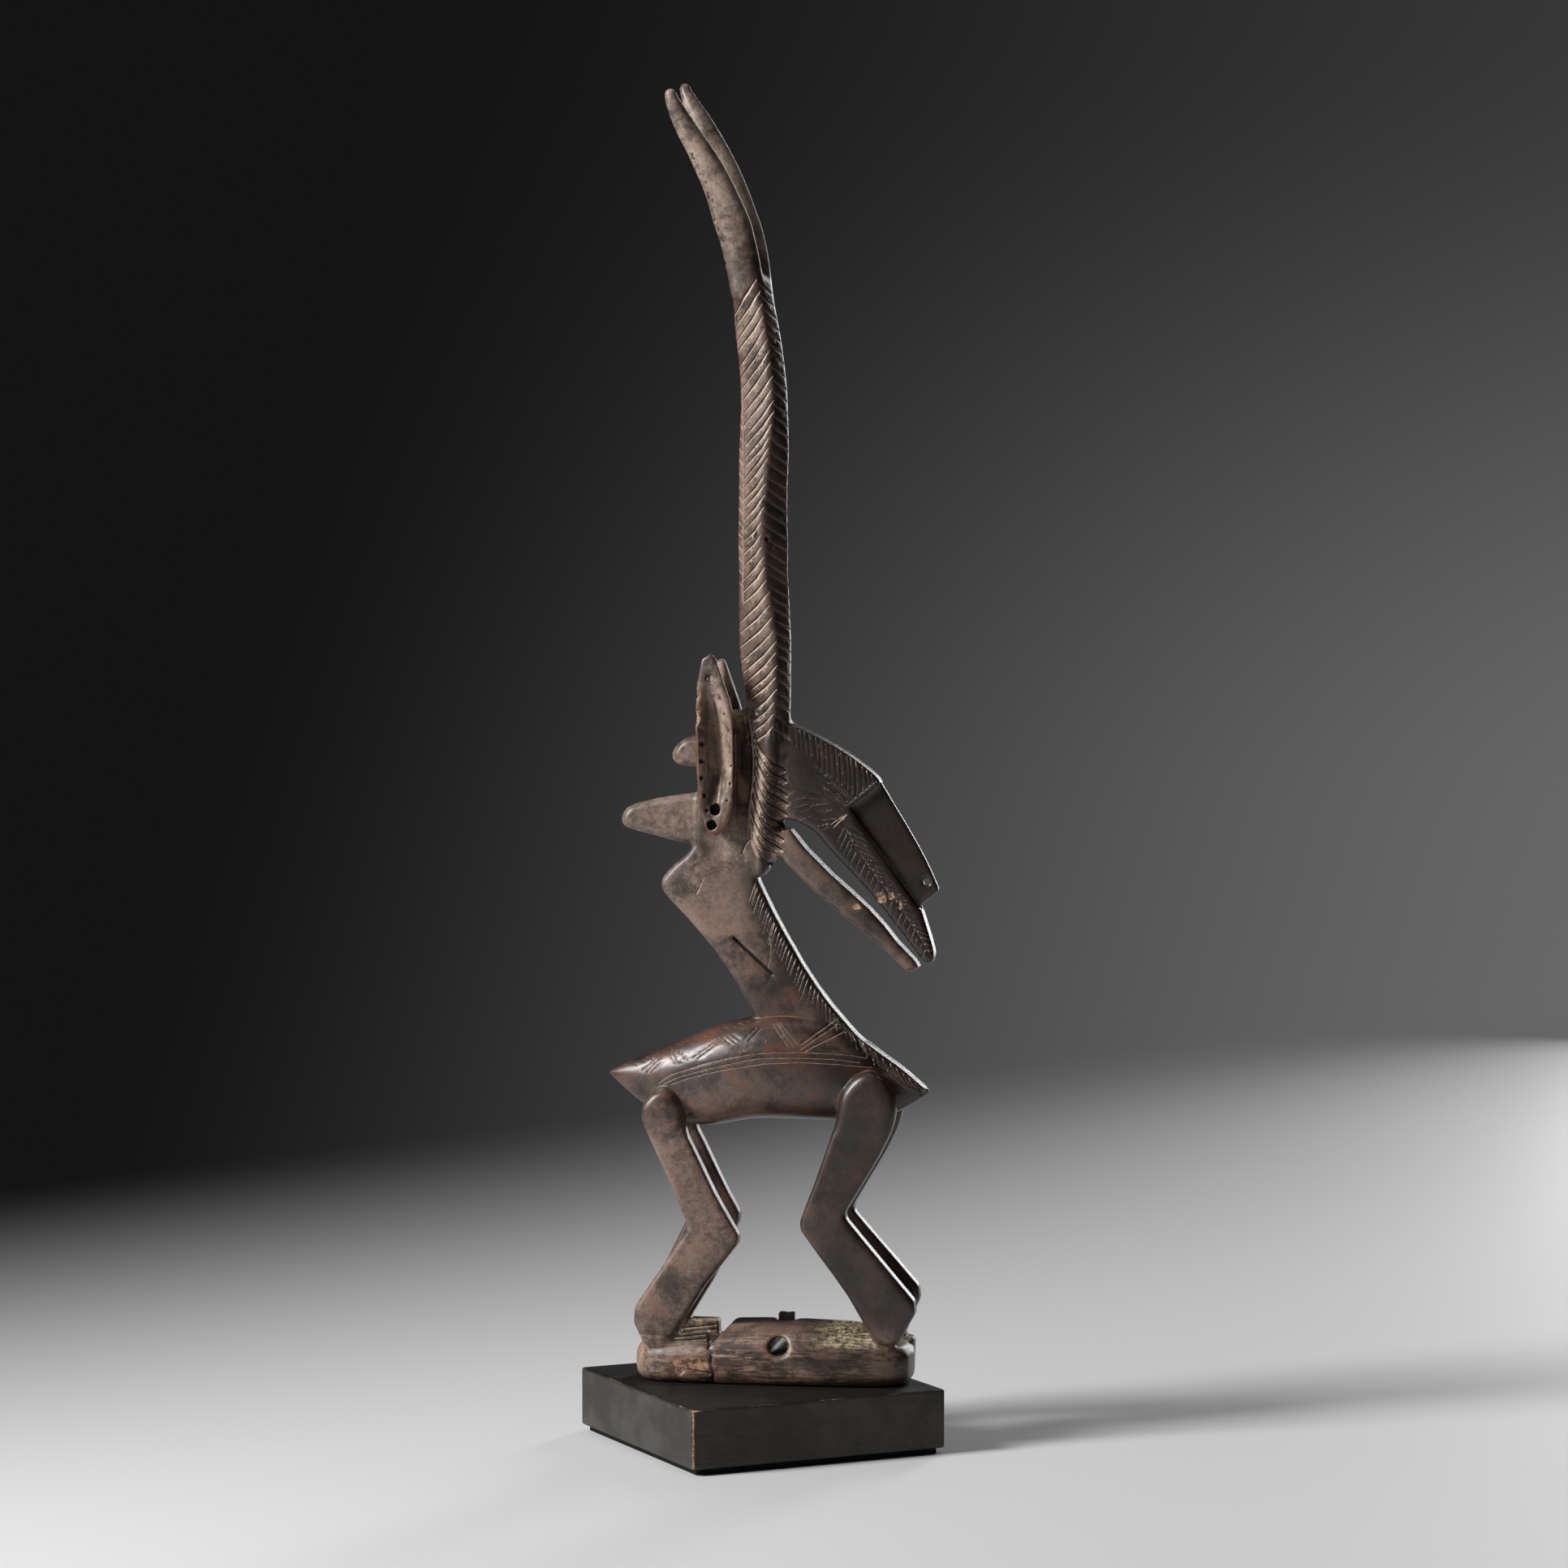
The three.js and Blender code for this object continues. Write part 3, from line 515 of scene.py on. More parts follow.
# Each tip is left blunt and round
TIP = 3.3
for side, lean, level in ((-1, NEAR_HORN, 698.6), (1, FAR_HORN, 705.6)):
    from_tip = co - (lean(level), side * TIPS_APART, level)
    gap = np.linalg.norm(from_tip, axis=1)
    inside = within(gap, 0.5, TIP) & (from_tip[:, 2] > 0)
    co[inside] += from_tip[inside] * (TIP / gap[inside] - 1)[:, None]
for _ in range(3):
    co = co + 0.4 * worked * (around(co) - co)

# Hollows and flats left by the blade, over everything
normals = outward()
waves = unevenness(co, 22, 1) * 0.28 + unevenness(co, 9, 2) * 0.13
waves *= np.interp(softness, [1.1, 1.7, 2.0, 2.3, 2.6], [0.55, 1, 0.8, 0.55, 1])
co += normals * waves[:, None]
co = around(co, 2)
normals = outward()
x, y, z = co.T

# What the cuts leave at each place: how deep they go, where it lies across the nearest one and how near, how
# pale with dust and painted light and how bold that one is, and whether the wood there is bare or painted
# dark as shade
CUT_REACH = 2.5
across = np.full(count, CUT_REACH)
depth, nearness, pale_dust_and_light, boldness, raw, hollow_shade = np.zeros((6, count))


def cut(a, b, side, wide, deep, pale=0.6, start=0.35, end=1.0):
    """A knife cut on one face between two places [x, z], widening from `start` to `end`.

    `across` keeps the distance from its line in half widths, positive on the lower wall, so that the material
    can draw its two walls sharply between the vertices, the upper one in painted shade and the lower one pale
    with dust and painted light.
    """
    (ax, az), (bx, bz) = a, b
    pad = CUT_REACH * wide / 2 + 0.3
    near = np.flatnonzero(
        within(x, min(ax, bx) - pad, max(ax, bx) + pad)
        & within(z, min(az, bz) - pad, max(az, bz) + pad) & (normals[:, 1] * side > 0.12)
    )
    dx, dz = bx - ax, bz - az
    t, gap = from_line(x[near], z[near], a, b)
    size = start + (end - start) * t
    away = gap / (wide / 2 * size)
    # The lower wall lies on the side of the line away from the sky, or the right of a plumb one
    right = (x[near] - ax) * dz - (z[near] - az) * dx
    lower = np.sign(right * (dx if abs(dx) > 0.3 * abs(dz) else -dz))
    depth[near] = np.maximum(depth[near], deep * size * np.clip(1 - away, 0, 1))
    close = np.clip(1 - away / CUT_REACH, 0, 1)
    nearer = close > nearness[near]
    chosen = near[nearer]
    nearness[chosen] = close[nearer]
    across[chosen] = np.clip(away[nearer] * lower[nearer], -CUT_REACH, CUT_REACH)
    pale_dust_and_light[chosen] = pale
    boldness[chosen] = np.clip((wide - 1.3) / 0.6, 0, 1)


def run_of_cuts(places, side, wide, deep, pale=0.6, start=1.0, end=1.0):
    """One cut through several places, [x, z], its width changing from end to end."""
    sizes = np.linspace(start, end, len(places))
    for i in range(len(places) - 1):
        cut(places[i], places[i + 1], side, wide, deep, pale, sizes[i], sizes[i + 1])


def pit(cx, cz, side, wide, deep, band=(0, 99), bare=0.0, ragged=0.0, tall=1.0, facing=-0.2):
    """A small hollow at a place on one face, round or ragged, painted dark inside as shade or down to bare
    wood.
    """
    near = np.flatnonzero(
        (np.abs(x - cx) < 1.6 * wide) & (np.abs(z - cz) < 1.6 * wide * max(tall, 1))
        & within(y * side, *band) & (normals[:, 1] * side > facing)
    )
    gap = np.hypot(x[near] - cx, (z[near] - cz) / tall) / (wide / 2)
    gap = gap + ragged * unevenness(co[near], wide * 0.35, int(abs(cx * 7 + cz * 3)) + 11)
    fall = np.sqrt(np.clip(1 - gap**2, 0, 1))
    depth[near] = np.maximum(depth[near], deep * fall)
    if bare:
        raw[near] = np.maximum(raw[near], bare * step(1 - gap, -0.05, 0.25))
    else:
        hollow_shade[near] = np.maximum(hollow_shade[near], step(1 - gap, -0.1, 0.25))


BEAM_BACK = curve(
    (276, -2), (290, -9.5), (310, -7), (330, -4.5), (350, -5), (372, -8), (395, -11), (420, -12),
    (500, -11.8), (545, -11.2), (572, -14), (604, -16),
)
BEAM_FRONT = curve(
    (276, 3.5), (290, 12), (312, 14), (345, 16), (400, 17), (470, 15.5), (530, 15.5), (560, 12.6),
    (604, 5),
)
BEAM_RIDGE = curve(
    (276, 0.5), (300, 3), (345, 7), (380, 10), (412, 9), (440, 3.5), (500, 4.8), (530, 8.3), (560, 6),
    (604, -1.5),
)
CHEVRONS = 38
TOP_CHEVRON, LOWEST_CHEVRON = 598, 357


def chevrons(side):
    """The chevrons cut down both faces of the joined horns, one by one."""
    for i in range(CHEVRONS):
        share = i / (CHEVRONS - 1)
        top = TOP_CHEVRON + (LOWEST_CHEVRON - TOP_CHEVRON) * share + drawn(-0.6, 0.6)
        ridge = BEAM_RIDGE(top)
        back_slope = (1.25 + (0.75 - 1.25) * share) * drawn(0.92, 1.06)
        front_slope = (0.8 + (0.65 - 0.8) * share) * drawn(0.92, 1.08)
        back = BEAM_BACK(top) + drawn(-0.6, 1.4)
        front = BEAM_FRONT(top) + 0.6
        if 431 < top < 535 and side < 0:
            back = max(back, BEAM_BACK(top) + 3.0)
        peak = ridge + drawn(-0.2, 1.4)
        widest = back + (peak - back) * drawn(0.55, 0.7)
        rise = drawn(0.2, 0.9)
        foot_of = (back, top - (ridge - back) * back_slope)
        belly = (widest, top - (ridge - widest) * back_slope - rise)
        tip = (peak, top - (ridge - peak) * back_slope + 0.5)
        wide, deep = drawn(1.9, 2.4), drawn(0.8, 1.05)
        cut(foot_of, belly, side, wide, deep, 0.9, 0.25, 1.0)
        cut(belly, tip, side, wide, deep, 0.9, 1.0, 0.25)
        foot = ridge + drawn(0.4, 1.8)
        cut((front, top - (front - ridge) * front_slope), (foot, top - (foot - ridge) * front_slope),
            side, drawn(1.5, 1.9), drawn(0.6, 0.85), 0.7, 1.0, 0.35)


# Lower down the beam turns into a mane of hanging locks, each cut curling down and forwards
LOCK_SWEEP = [(0, 0), (1.3, -5.2), (3.8, -10.4), (7.8, -14.2), (12.4, -17.6), (16.5, -20.4)]
LOCK_PITCH = 6.1
LOCKS, TOP_LOCK = 10, 353.5
MANE_BORDER = curve(
    (284, -7.5), (293, -6.6), (299, -4.4), (308, -4.8), (317, -3.7), (328, -2.4), (341, -2.1),
    (354, -3.2), (364, -4.6),
)
for side in (-1, 1):
    chevrons(side)
    for i in range(LOCKS):
        start = TOP_LOCK - i * LOCK_PITCH + drawn(-0.6, 0.6)
        left = MANE_BORDER(start) + 0.8
        curl = drawn(0.92, 1.08)
        run_of_cuts([(left + px, start + pz * curl) for px, pz in LOCK_SWEEP], side, 2.8, 1.8, 0.8, 0.6, 1.0)
        if i % 2:
            run_of_cuts([(left + px + 1.6, start + pz * curl - 2.6) for px, pz in LOCK_SWEEP[1:4]],
                        side, 1.2, 0.5, 0.6, 0.8, 0.5)
    run_of_cuts([(MANE_BORDER(level), level) for level in range(296, 364, 8)], side, 1.5, 0.7, 0.6)
    run_of_cuts([(-3.0, 297.2), (-6.6, 293.6), (-8.6, 288.3), (-7.5, 284.7)], side, 1.8, 0.8, 0.5)

# A narrow border runs down the beam's near back edge, hatched the other way
run_of_cuts([(-9.4, 540), (-8.6, 480), (-8.9, 425)], -1, 1.2, 0.6, 0.5, 0.8, 1.0)
HATCHES, TOP_HATCH, HATCH_PITCH = 16, 533, 6.6
for i in range(HATCHES):
    level = TOP_HATCH - i * HATCH_PITCH + drawn(-0.6, 0.6)
    cut((-12.6, level + 3.4), (-9.2, level - 0.6), -1, 1.3, 0.45, 0.7, 1.0, 0.6)

# Short strokes hang from the throat's front edge, and run on down the tail leaning the other way. One deep
# slit crosses each face of the neck, painted dark down its middle as shade.
NECK_FRONT = curve(
    (160, 93), (171.5, 79), (181, 65.2), (193.7, 50.5), (220, 29.2), (251, 10.8), (276, -1.2),
)
NECK_STROKES = 42
TOP_STROKE, LOWEST_STROKE = 274, 165
SLIT = ((-13.4, 241.9), (7.7, 222.6))
SLIT_DARK = 0.85
for side in (-1, 1):
    for i in range(NECK_STROKES):
        level = TOP_STROKE + (LOWEST_STROKE - TOP_STROKE) * i / (NECK_STROKES - 1) + drawn(-0.4, 0.4)
        top = NECK_FRONT(level) - 1.2
        tail = step(level, 222, 192)
        long = (12 - 3.5 * tail) * drawn(0.7, 1.15)
        lean = -0.28 + 0.66 * tail + drawn(-0.04, 0.04)
        cut((top, level - 0.8), (top + lean * long, level - long), side,
            1.1, 0.4, drawn(0.0, 0.4), 1.0, 0.55)
    run_of_cuts([(8.9, 250.5), (6.7, 241.2), (7.3, 235.0), (5.7, 224.4)], side, 0.9, 0.3, 0.8)
    cut(*SLIT, side, 2.4, 3.2, 0.45, 0.9, 1.0)
    cut((-29.5, 274.9), (-33.6, 266.5), side, 1.2, 0.4, 0.8)
# Painted shade down the middle of the slit
hollow_shade[from_line(x, z, *SLIT)[1] < SLIT_DARK] = 1.0

# The flanks carry three long lines, with groups of strokes leaning to and fro above them
FLANK_LINES = [
    [(-54.5, 162.5), (-47.6, 167.4), (-38.8, 170.3), (-28.7, 174.1), (-14.9, 177.6), (2.6, 180.6),
     (10.1, 181.2), (25.1, 181.4), (41.3, 180.7), (52.5, 179.4), (59.9, 177.8)],
    [(-51.8, 162.2), (-43.6, 166.1), (-34.8, 168.9), (-19.7, 172.9), (-4.7, 176.6), (5.3, 178.0),
     (25.2, 178.3), (42.7, 177.6), (56.3, 175.7)],
    [(-47.2, 162.1), (-39.7, 165.0), (-28.4, 168.4), (-14.6, 171.6), (-4.6, 173.3), (5.4, 175.0),
     (25.4, 176.0), (45.3, 174.8), (62.7, 172.9)],
]
FLANK_STROKES = [
    (8.5, 196.3, 18.3, 184.1), (12.9, 196.4, 24.1, 184.8), (10.8, 196.9, 21.0, 184.1),
    (24.8, 184.8, 42.5, 198.1), (25.5, 183.0, 44.2, 196.1), (27.9, 182.0, 47.4, 192.0),
    (-18.0, 188.2, -7.7, 181.1), (-15.7, 189.3, -5.2, 182.0), (-13.4, 190.3, -2.5, 183.8),
    (-34.1, 177.1, -20.3, 187.7), (-31.6, 176.6, -17.8, 187.3), (-5.7, 187.7, 0.0, 193.7),
    (-3.3, 186.5, 2.5, 193.0), (-47.9, 179.8, -42.6, 173.5), (-44.1, 180.4, -37.6, 175.3),
    (-49.4, 178.8, -44.1, 172.7), (-63.7, 168.8, -57.4, 175.5), (-61.2, 167.9, -54.7, 175.8),
    (-58.6, 168.0, -54.0, 173.5),
]
FAR_SLIP = 1.5
BACK_STROKES = 17
for side in (-1, 1):
    slip = 0 if side < 0 else FAR_SLIP
    for line in FLANK_LINES:
        run_of_cuts([(px, pz + 0.3 * slip) for px, pz in line], side, 0.75, 0.3, 0.5)
    for ax, az, bx, bz in FLANK_STROKES:
        cut((ax + slip, az), (bx + slip, bz), side, drawn(0.7, 0.9), 0.4, drawn(0.5, 0.8), 0.8, 1.0)
    for i in range(BACK_STROKES):
        place = -70 + i * 4.3
        top = BODY_TOP(place) - 2.2
        cut((place, top), (place + 2.6, top - drawn(0.2, 1.4)), side, 0.9, 0.3, 0.25, 0.8, 0.6)

# Head: strokes down from the crest, hatching on the cheek and a herringbone along the jaw
CREST = curve((4, 361), (15, 360.3), (28.3, 354.9), (41.3, 347.4), (54.3, 340), (62.8, 332.5), (67.3, 326))
CREST_STROKE = curve((4, 9), (27, 12), (35, 16), (52, 17.5), (58, 12), (64, 5), (68, 4))
CREST_STROKES = 21
JAW_LINE = [
    (46.1, 307.1), (52.9, 292.7), (61.2, 281.5), (68.4, 271.3), (77.8, 260.0), (86.1, 247.8),
    (94.4, 233.5),
]
JAW_STROKES, JAW_PITCH = 21, 3.3
CHEEK_CUTS = [
    (29.5, 336.8, 51.8, 317.4), (33.1, 327.5, 47.2, 315.3), (34.7, 323.4, 46.1, 313.2),
    (37.3, 328.1, 48.7, 317.4), (40.4, 327.6, 50.0, 319.4), (32.0, 331.0, 46.0, 318.8),
    (30.5, 311.1, 39.9, 312.7), (32.6, 309.5, 39.9, 312.3), (33.1, 306.4, 42.5, 307.8),
    (32.6, 303.3, 38.3, 304.9), (34.2, 300.8, 38.3, 302.9), (29.0, 314.5, 38.4, 315.9),
    (27.0, 318.4, 37.0, 318.0), (25.0, 322.0, 34.5, 320.6), (18.5, 309.4, 27.5, 312.6),
    (19.5, 313.4, 27.0, 315.4), (18.0, 317.5, 25.5, 318.9), (20.0, 305.6, 29.0, 309.0),
]
jaw_places, jaw_levels = np.array(JAW_LINE)[::-1].T
for side in (-1, 1):
    for i in range(CREST_STROKES):
        place = 8 + i * 2.85 + drawn(-0.4, 0.4)
        top = CREST(place) - 2.2
        long = CREST_STROKE(place) * drawn(0.85, 1.08)
        cut((place, top), (place + 0.9, top - long), side, 0.9, 0.4, 0.08, 0.8, 0.8)
        if place > 36:
            cut((place + 0.5, top - 0.6 * long), (place + 0.9, top - long), side, 0.8, 0.4, 0.45, 0.5, 1.0)
    for ax, az, bx, bz in CHEEK_CUTS:
        cut((ax, az), (bx, bz), side, drawn(0.7, 0.9), 0.2, drawn(0.0, 0.25), 0.6, 1.0)
    cut((41.5, 302.9), (48.2, 309.6), side, 1.0, 0.45, 0.9, 0.7, 1.0)
    cut((39.9, 304.4), (46.6, 309.1), side, 0.9, 0.4, 0.8, 0.7, 1.0)
    run_of_cuts(JAW_LINE, side, 0.9, 0.4, 0.3, 0.6, 1.0)
    for i in range(JAW_STROKES):
        level = 303.5 - i * JAW_PITCH + drawn(-0.3, 0.3)
        place = float(np.interp(level, jaw_levels, jaw_places))
        fall = drawn(7.2, 9.8)
        cut((place - 1.0, level - 1.0), (place - 1.0 - 0.45 * fall, level - 1.0 - fall), side,
            0.85, 0.4, drawn(0.0, 0.3), 0.9, 0.6)
        reach_out = (8.6 if level > 262 else 5.6) * drawn(0.85, 1.05)
        cut((place + 1.0, level - 0.4), (place + 1.0 + reach_out, level - 0.4 - 0.46 * reach_out), side,
            0.85, 0.4, drawn(0.0, 0.25), 0.9, 0.7)
    cut((49.5, 312.5), (67.5, 327.0), side, 1.4, 0.6, 0.15, 1.0, 1.0)
    cut((47.6, 314.2), (64.5, 327.9), side, 1.0, 0.4, 0.15, 0.6, 1.0)
    cut((49.8, 312.7), (89.1, 259.1), side, 1.2, 0.4, 0.5, 1.0, 1.0)


def along(points, side, wide, band=(0, 99)):
    """How near each place of one face is to a line through several places, 1 on the line."""
    mask = np.zeros(count)
    for a, b in zip(points, points[1:]):
        mask = np.maximum(mask, 1 - step(from_line(x, z, a, b)[1], 0.25 * wide, 0.5 * wide))
    return mask * within(y * side, *band)


# Each ear's hollow falls gently from its back rim to a line, and rises steeply to the front one
EAR_VALLEY = curve(
    (300, -22.6), (313, -21.5), (330, -20.4), (349, -21.1), (363, -23.4), (378, -25.6), (386, -26),
)
EAR_EDGE = [
    (-29.5, 376), (-32.4, 357), (-32.3, 333), (-30.0, 309.5), (-27.0, 301.4), (-23.1, 298.6),
    (-19.0, 302.2), (-13.8, 311), (-10.8, 326), (-10.8, 343), (-12.4, 360), (-17.5, 379),
]
EAR_SIDES = ((-1, 0), (1, 3))
HOLLOW_DEEP, CHANNEL_DEEP = 2.1, 2.6
reddened = np.zeros(count)
for side, drop in EAR_SIDES:
    valley = x - EAR_VALLEY(z + drop)
    fall = np.where(valley < 0, 1 + valley / 7.0, 1 - valley / 2.6)
    fade_out = step(z + drop, 304, 318) * (1 - step(z + drop, 366, 382))
    facing_out = (normals[:, 1] * side > 0.1) & (reach > 7.2) & (y * side > 0) & (x < -9)
    depth += HOLLOW_DEEP * np.clip(fall, 0, 1) * fade_out * facing_out
    edge = along([(px, pz - drop) for px, pz in EAR_EDGE], side, 1.5, (9, 30))
    reddened = np.maximum(reddened, edge * np.where(np.abs(normals[:, 1]) > 0.25, 1, 0.35))

# A deep channel parts each ear from the mane
in_channel = step(x, -12.2, -10.6) * (1 - step(x, MANE_BORDER(z) - 2.0, MANE_BORDER(z) - 0.5))
in_channel *= step(z, 298, 316) * (1 - step(z, 368, 384))
in_channel *= (reach > 6.5) * (np.abs(normals[:, 1]) > 0.35)
depth = np.maximum(depth, CHANNEL_DEEP * in_channel)

# A row of small holes runs along each rim for threads, the near rim broken at three of them; their insides
# are painted dark as shade
BACK_RIM = [(-29.1, 348.1), (-29.2, 338.7), (-29.0, 329.5), (-27.4, 320.1), (-26.2, 312.1)]
FRONT_RIM = [
    (-19.6, 372.7), (-17.4, 364.1), (-15.3, 355.3), (-14.7, 346.5), (-13.3, 336.3), (-13.6, 326.5),
    (-15.2, 317.4),
]
for side, drop in EAR_SIDES:
    for px, pz in BACK_RIM:
        pit(px, pz - drop, side, 3.0, 2.2, (9, 30))
    for px, pz in FRONT_RIM:
        pit(px, pz - drop, side, 1.9, 1.2, (9, 30))
    for px, pz in [(-21.9, 312.2), (-23.8, 304)]:
        pit(px, pz - drop, side, 5.2, 2.4, (8, 30))
    pit(-25, 383.6 - drop, side, 4.2, 0.2, (5, 30))
for px, pz, size, tall in [(-31.0, 374, 4.4, 0.55), (-30.6, 365.4, 5.0, 0.45), (-32.0, 361.5, 3.4, 2.2)]:
    pit(px, pz, -1, size, 0.8, (13, 30), 0.55, 0.3, tall)
pit(-29.0, 356.3, -1, 3.6, 1.3, (13, 30), 0.5, 0.3, 0.7)

# Base: an old drying crack, a patch where the surface has come away from bare wood, and a hole through it for
# the thread that ties the figure to its cap, painted dark inside as shade
run_of_cuts([(-23.4, 23.2), (-25.4, 19.3), (-22.8, 16.7), (-23.6, 10.2), (-21.9, 6.4), (-22.5, 0)],
            -1, 1.9, 2.2, 0.25, 0.7, 1.0)
run_of_cuts([(-39.4, 8.4), (-34, 7.6), (-31.6, 6.9), (-27, 6.4), (-22.9, 5.6)], -1, 1.5, 1.6, 0.15, 0.5, 1.0)
for px, pz, size, tall in [(-35, 11.2, 17, 0.42), (-29, 10.4, 11, 0.62), (-40.5, 7.6, 7, 1.1)]:
    pit(px, pz, -1, size, 0.7, (10, 40), 0.75, 0.35, tall)
pit(-62.5, 15.2, -1, 4.6, 0.4, (10, 40), 0.4, 0.35)
TIE_HOLE = (13.3, 20.5)
TIE_HOLE_HALF = 6.3
from_hole = np.hypot(x - TIE_HOLE[0], z - TIE_HOLE[1])
# Painted shade inside the tie hole
hollow_shade[(from_hole < TIE_HOLE_HALF) & (reach < 22) & (np.abs(normals[:, 1]) < 0.6)] = 0.9
BASE_CRACKS = 14
for i in range(BASE_CRACKS):
    place, level = drawn(-60, 76), drawn(3, 24)
    long = drawn(5, 18)
    cut((place, level), (place + long, level + drawn(-1, 1)), -1 if i % 2 else 1,
        drawn(0.6, 0.9), 0.3, drawn(0.05, 0.35), 0.4, 0.8)
for share in (0.34, 0.68):
    run_of_cuts([(-44, 20.8 + 5 * share), (-36, 20.8 + 6.4 * share), (-27, 21 + 8 * share)],
                -1, 1.3, 0.9, 0.45, 0.8, 1.0)
run_of_cuts([(-45, 27.6), (-36, 27.9), (-26.5, 28.2)], 1, 1.2, 0.6, 0.3, 0.8, 1.0)

# Chips on the jaws, the beam, the horns and the near hind thigh; those on the beam and the horns are painted
# dark inside as shade, the others show bare wood
JAW_CHIPS = [(67.4, 264.6, 6.0, 0.9), (72.6, 265.7, 4.4, 1.1), (77.8, 260.9, 2.4, 2.0), (53.5, 260, 4.6, 0.8)]
for px, pz, size, tall in JAW_CHIPS:
    pit(px, pz, -1, size, 0.8, (5, 12), 0.8, 0.55, tall)
BEAM_CHIPS = [(-12.9, 578, 2.0, 2.8), (9.5, 556, 1.7, 2.8), (-0.8, 461, 2.6, 2.4), (5.8, 459, 2.0, 1.5)]
for px, pz, size, tall in BEAM_CHIPS:
    pit(px, pz, -1, size, 1.3, (1, 20), 0, 0.3, tall)
HORN_PITS = 46
for _ in range(HORN_PITS):
    level = drawn(606, 672)
    pit(NEAR_HORN(level) - HORN_DEPTH(level) * drawn(0.6, 0.95), level, -1,
        drawn(0.5, 1.3), 0.3, (1, 30), 0, 0.5, drawn(0.6, 2.4))
pit(-64.0, 131, -1, 4.6, 0.8, (10, 30), 0.7, 0.55, 1.5)

# The saddle where the horns part is painted dark, a painted shade
hollow_shade[within(z, HORN_FOOT, 613) & (reach < 6.5) & (normals[:, 2] > 0.3)] = 0.8

# The cuts go in along the surface's own normals
co -= normals * depth[:, None]
normals = outward()
hollow = np.einsum("ij,ij->i", around(co, 3) - co, normals)
broad = np.einsum("ij,ij->i", around(co, 18) - co, normals)
x, y, z = co.T
reach = np.abs(y)

# How much dry pale film each place keeps, most in the ear hollows and about the ankles; some of it is painted
# light on the parts turned to the main light
on_horns = step(z, 598, 622)
below_ear = within(z, 284, 312) & within(x, -28, -6) & (reach < 14)
on_notch = within(z, 360, 372) & (x < -4) & (reach < 10)
pale_film_and_light = np.full(count, 0.03)
pale_film_and_light += 0.75 * on_horns + 0.25 * step(z, 610, 640) * (y > 0)
# More film on the beam's faces not turned to the right: painted light on the side the main light falls on
pale_film_and_light += 0.4 * step(z, 340, 420) * (1 - on_horns) * (1 - step(normals[:, 0], 0.1, 0.4))
pale_film_and_light += 0.15 * (within(z, 290, EARS_TOP) & (x < -12))
in_ear = within(z, 304, 392) & within(x, -29, -12) & (reach > 11)
# The steep front wall of each ear hollow, facing the main light, gets the most film: painted light
pale_film_and_light += in_ear * np.where(x > EAR_VALLEY(z) - 0.5, 1.0, 0.35)
pale_film_and_light += 0.6 * below_ear * (1 - step(np.abs(x + 15), 6, 12))
pale_film_and_light += 0.7 * on_notch
# Film on the hind legs on the left, partly painted light where the main light falls strongest
pale_film_and_light += 0.46 * (1 - step(z, 130, 176)) * (z > 30) * (x < 0) * (reach > 10)
pale_film_and_light += 0.4 * (within(z, 272, 350) & (x < -34))
pale_film_and_light += 0.12 * (1 - step(z, 26, 34)) + 0.5 * (1 - step(z, 22, 32)) * step(normals[:, 2], 0.3, 0.8)
# Film on the neck's left part, fading to the right: painted light
pale_film_and_light += 0.44 * step(z, 200, 240) * (z < 290) * (1 - step(x, -14, 24))
under_gap = np.interp(x, [14, 31.2, 38.8, 62.6, 82.5, 90.6], [304, 297.5, 289, 263.5, 238, 227.5])
lower_jaw = (x > 14) & (z > 225) & (z < under_gap) & (x > NECK_FRONT(z) + 1)
pale_film_and_light += 0.35 * lower_jaw
pale_film_and_light += 0.4 * step(broad, 0.5, 1.6)
above_feet = within(z, BASE_TOP, 33)
by_feet = step(x, 34, 46) + (1 - step(x, -30, -22))
pale_film_and_light += 0.9 * (above_feet & (normals[:, 2] > 0.25)) * by_feet
on_far_toe = within(z, 22, 31) & within(x, -48, -24) & (y > 0)
on_near_toe = within(z, 20.5, 29) & within(x, -47, -24) & (y < 0) & (normals[:, 1] < -0.5)
pale_film_and_light = np.where(on_far_toe, 1.0, np.where(on_near_toe, 0.0, pale_film_and_light))
pale_film_and_light *= 1 - 0.8 * np.clip(reddened, 0, 1)

# Thick cream-coloured dust lies on the far toes, about the ankles and in the ear's old chips
cream = np.where(on_far_toe, 1.0, 0.0) * (1 - step(-normals[:, 1], 0.2, 0.9) * 0.5)
by_ankles = 0.8 * step(x, 30, 46) + (1 - step(x, -48, -22)) * 0.7
cream += (above_feet & (normals[:, 2] > 0.4)) * by_ankles
cream += 0.8 * on_notch
for px, pz, size in [(-31.4, 374, 4.4), (-31.4, 366, 5.0), (-32.0, 361.5, 5.0)]:
    cream += (np.hypot(x - px, z - pz) < size / 2) * (y < -13) * 0.8

# The head, the throat's edge, the tail and the ear's front wall are darkened nearly black, a painted shade:
# less light reaches the head and the right-hand parts, and the ear casts its shadow beside it. The mane and
# the near toe are darkened a little too.
stain_and_shade = step(x, 12, 26) * step(z, 226, 250) * (z < EARS_TOP) + 0.7 * step(x, 20, 44) * (z < 180)
stain_and_shade += 0.75 * (1 - step(NECK_FRONT(z) - x, 9, 15)) * step(z, 168, 186) * (1 - step(z, 276, 290))
stain_and_shade += 0.45 * (within(z, 286, 352) & within(x, -3, 14) & (reach > 9.5)) + 0.7 * on_near_toe
shaded = step(x, -12.2, -10.6) * (1 - step(x, MANE_BORDER(z) - 1.6, MANE_BORDER(z) - 0.2))
stain_and_shade += 1.3 * shaded * step(z, 300, 318) * (1 - step(z, 352, 361))
stain_and_shade = np.clip(stain_and_shade, 0, 1) * (1 - 0.55 * lower_jaw)

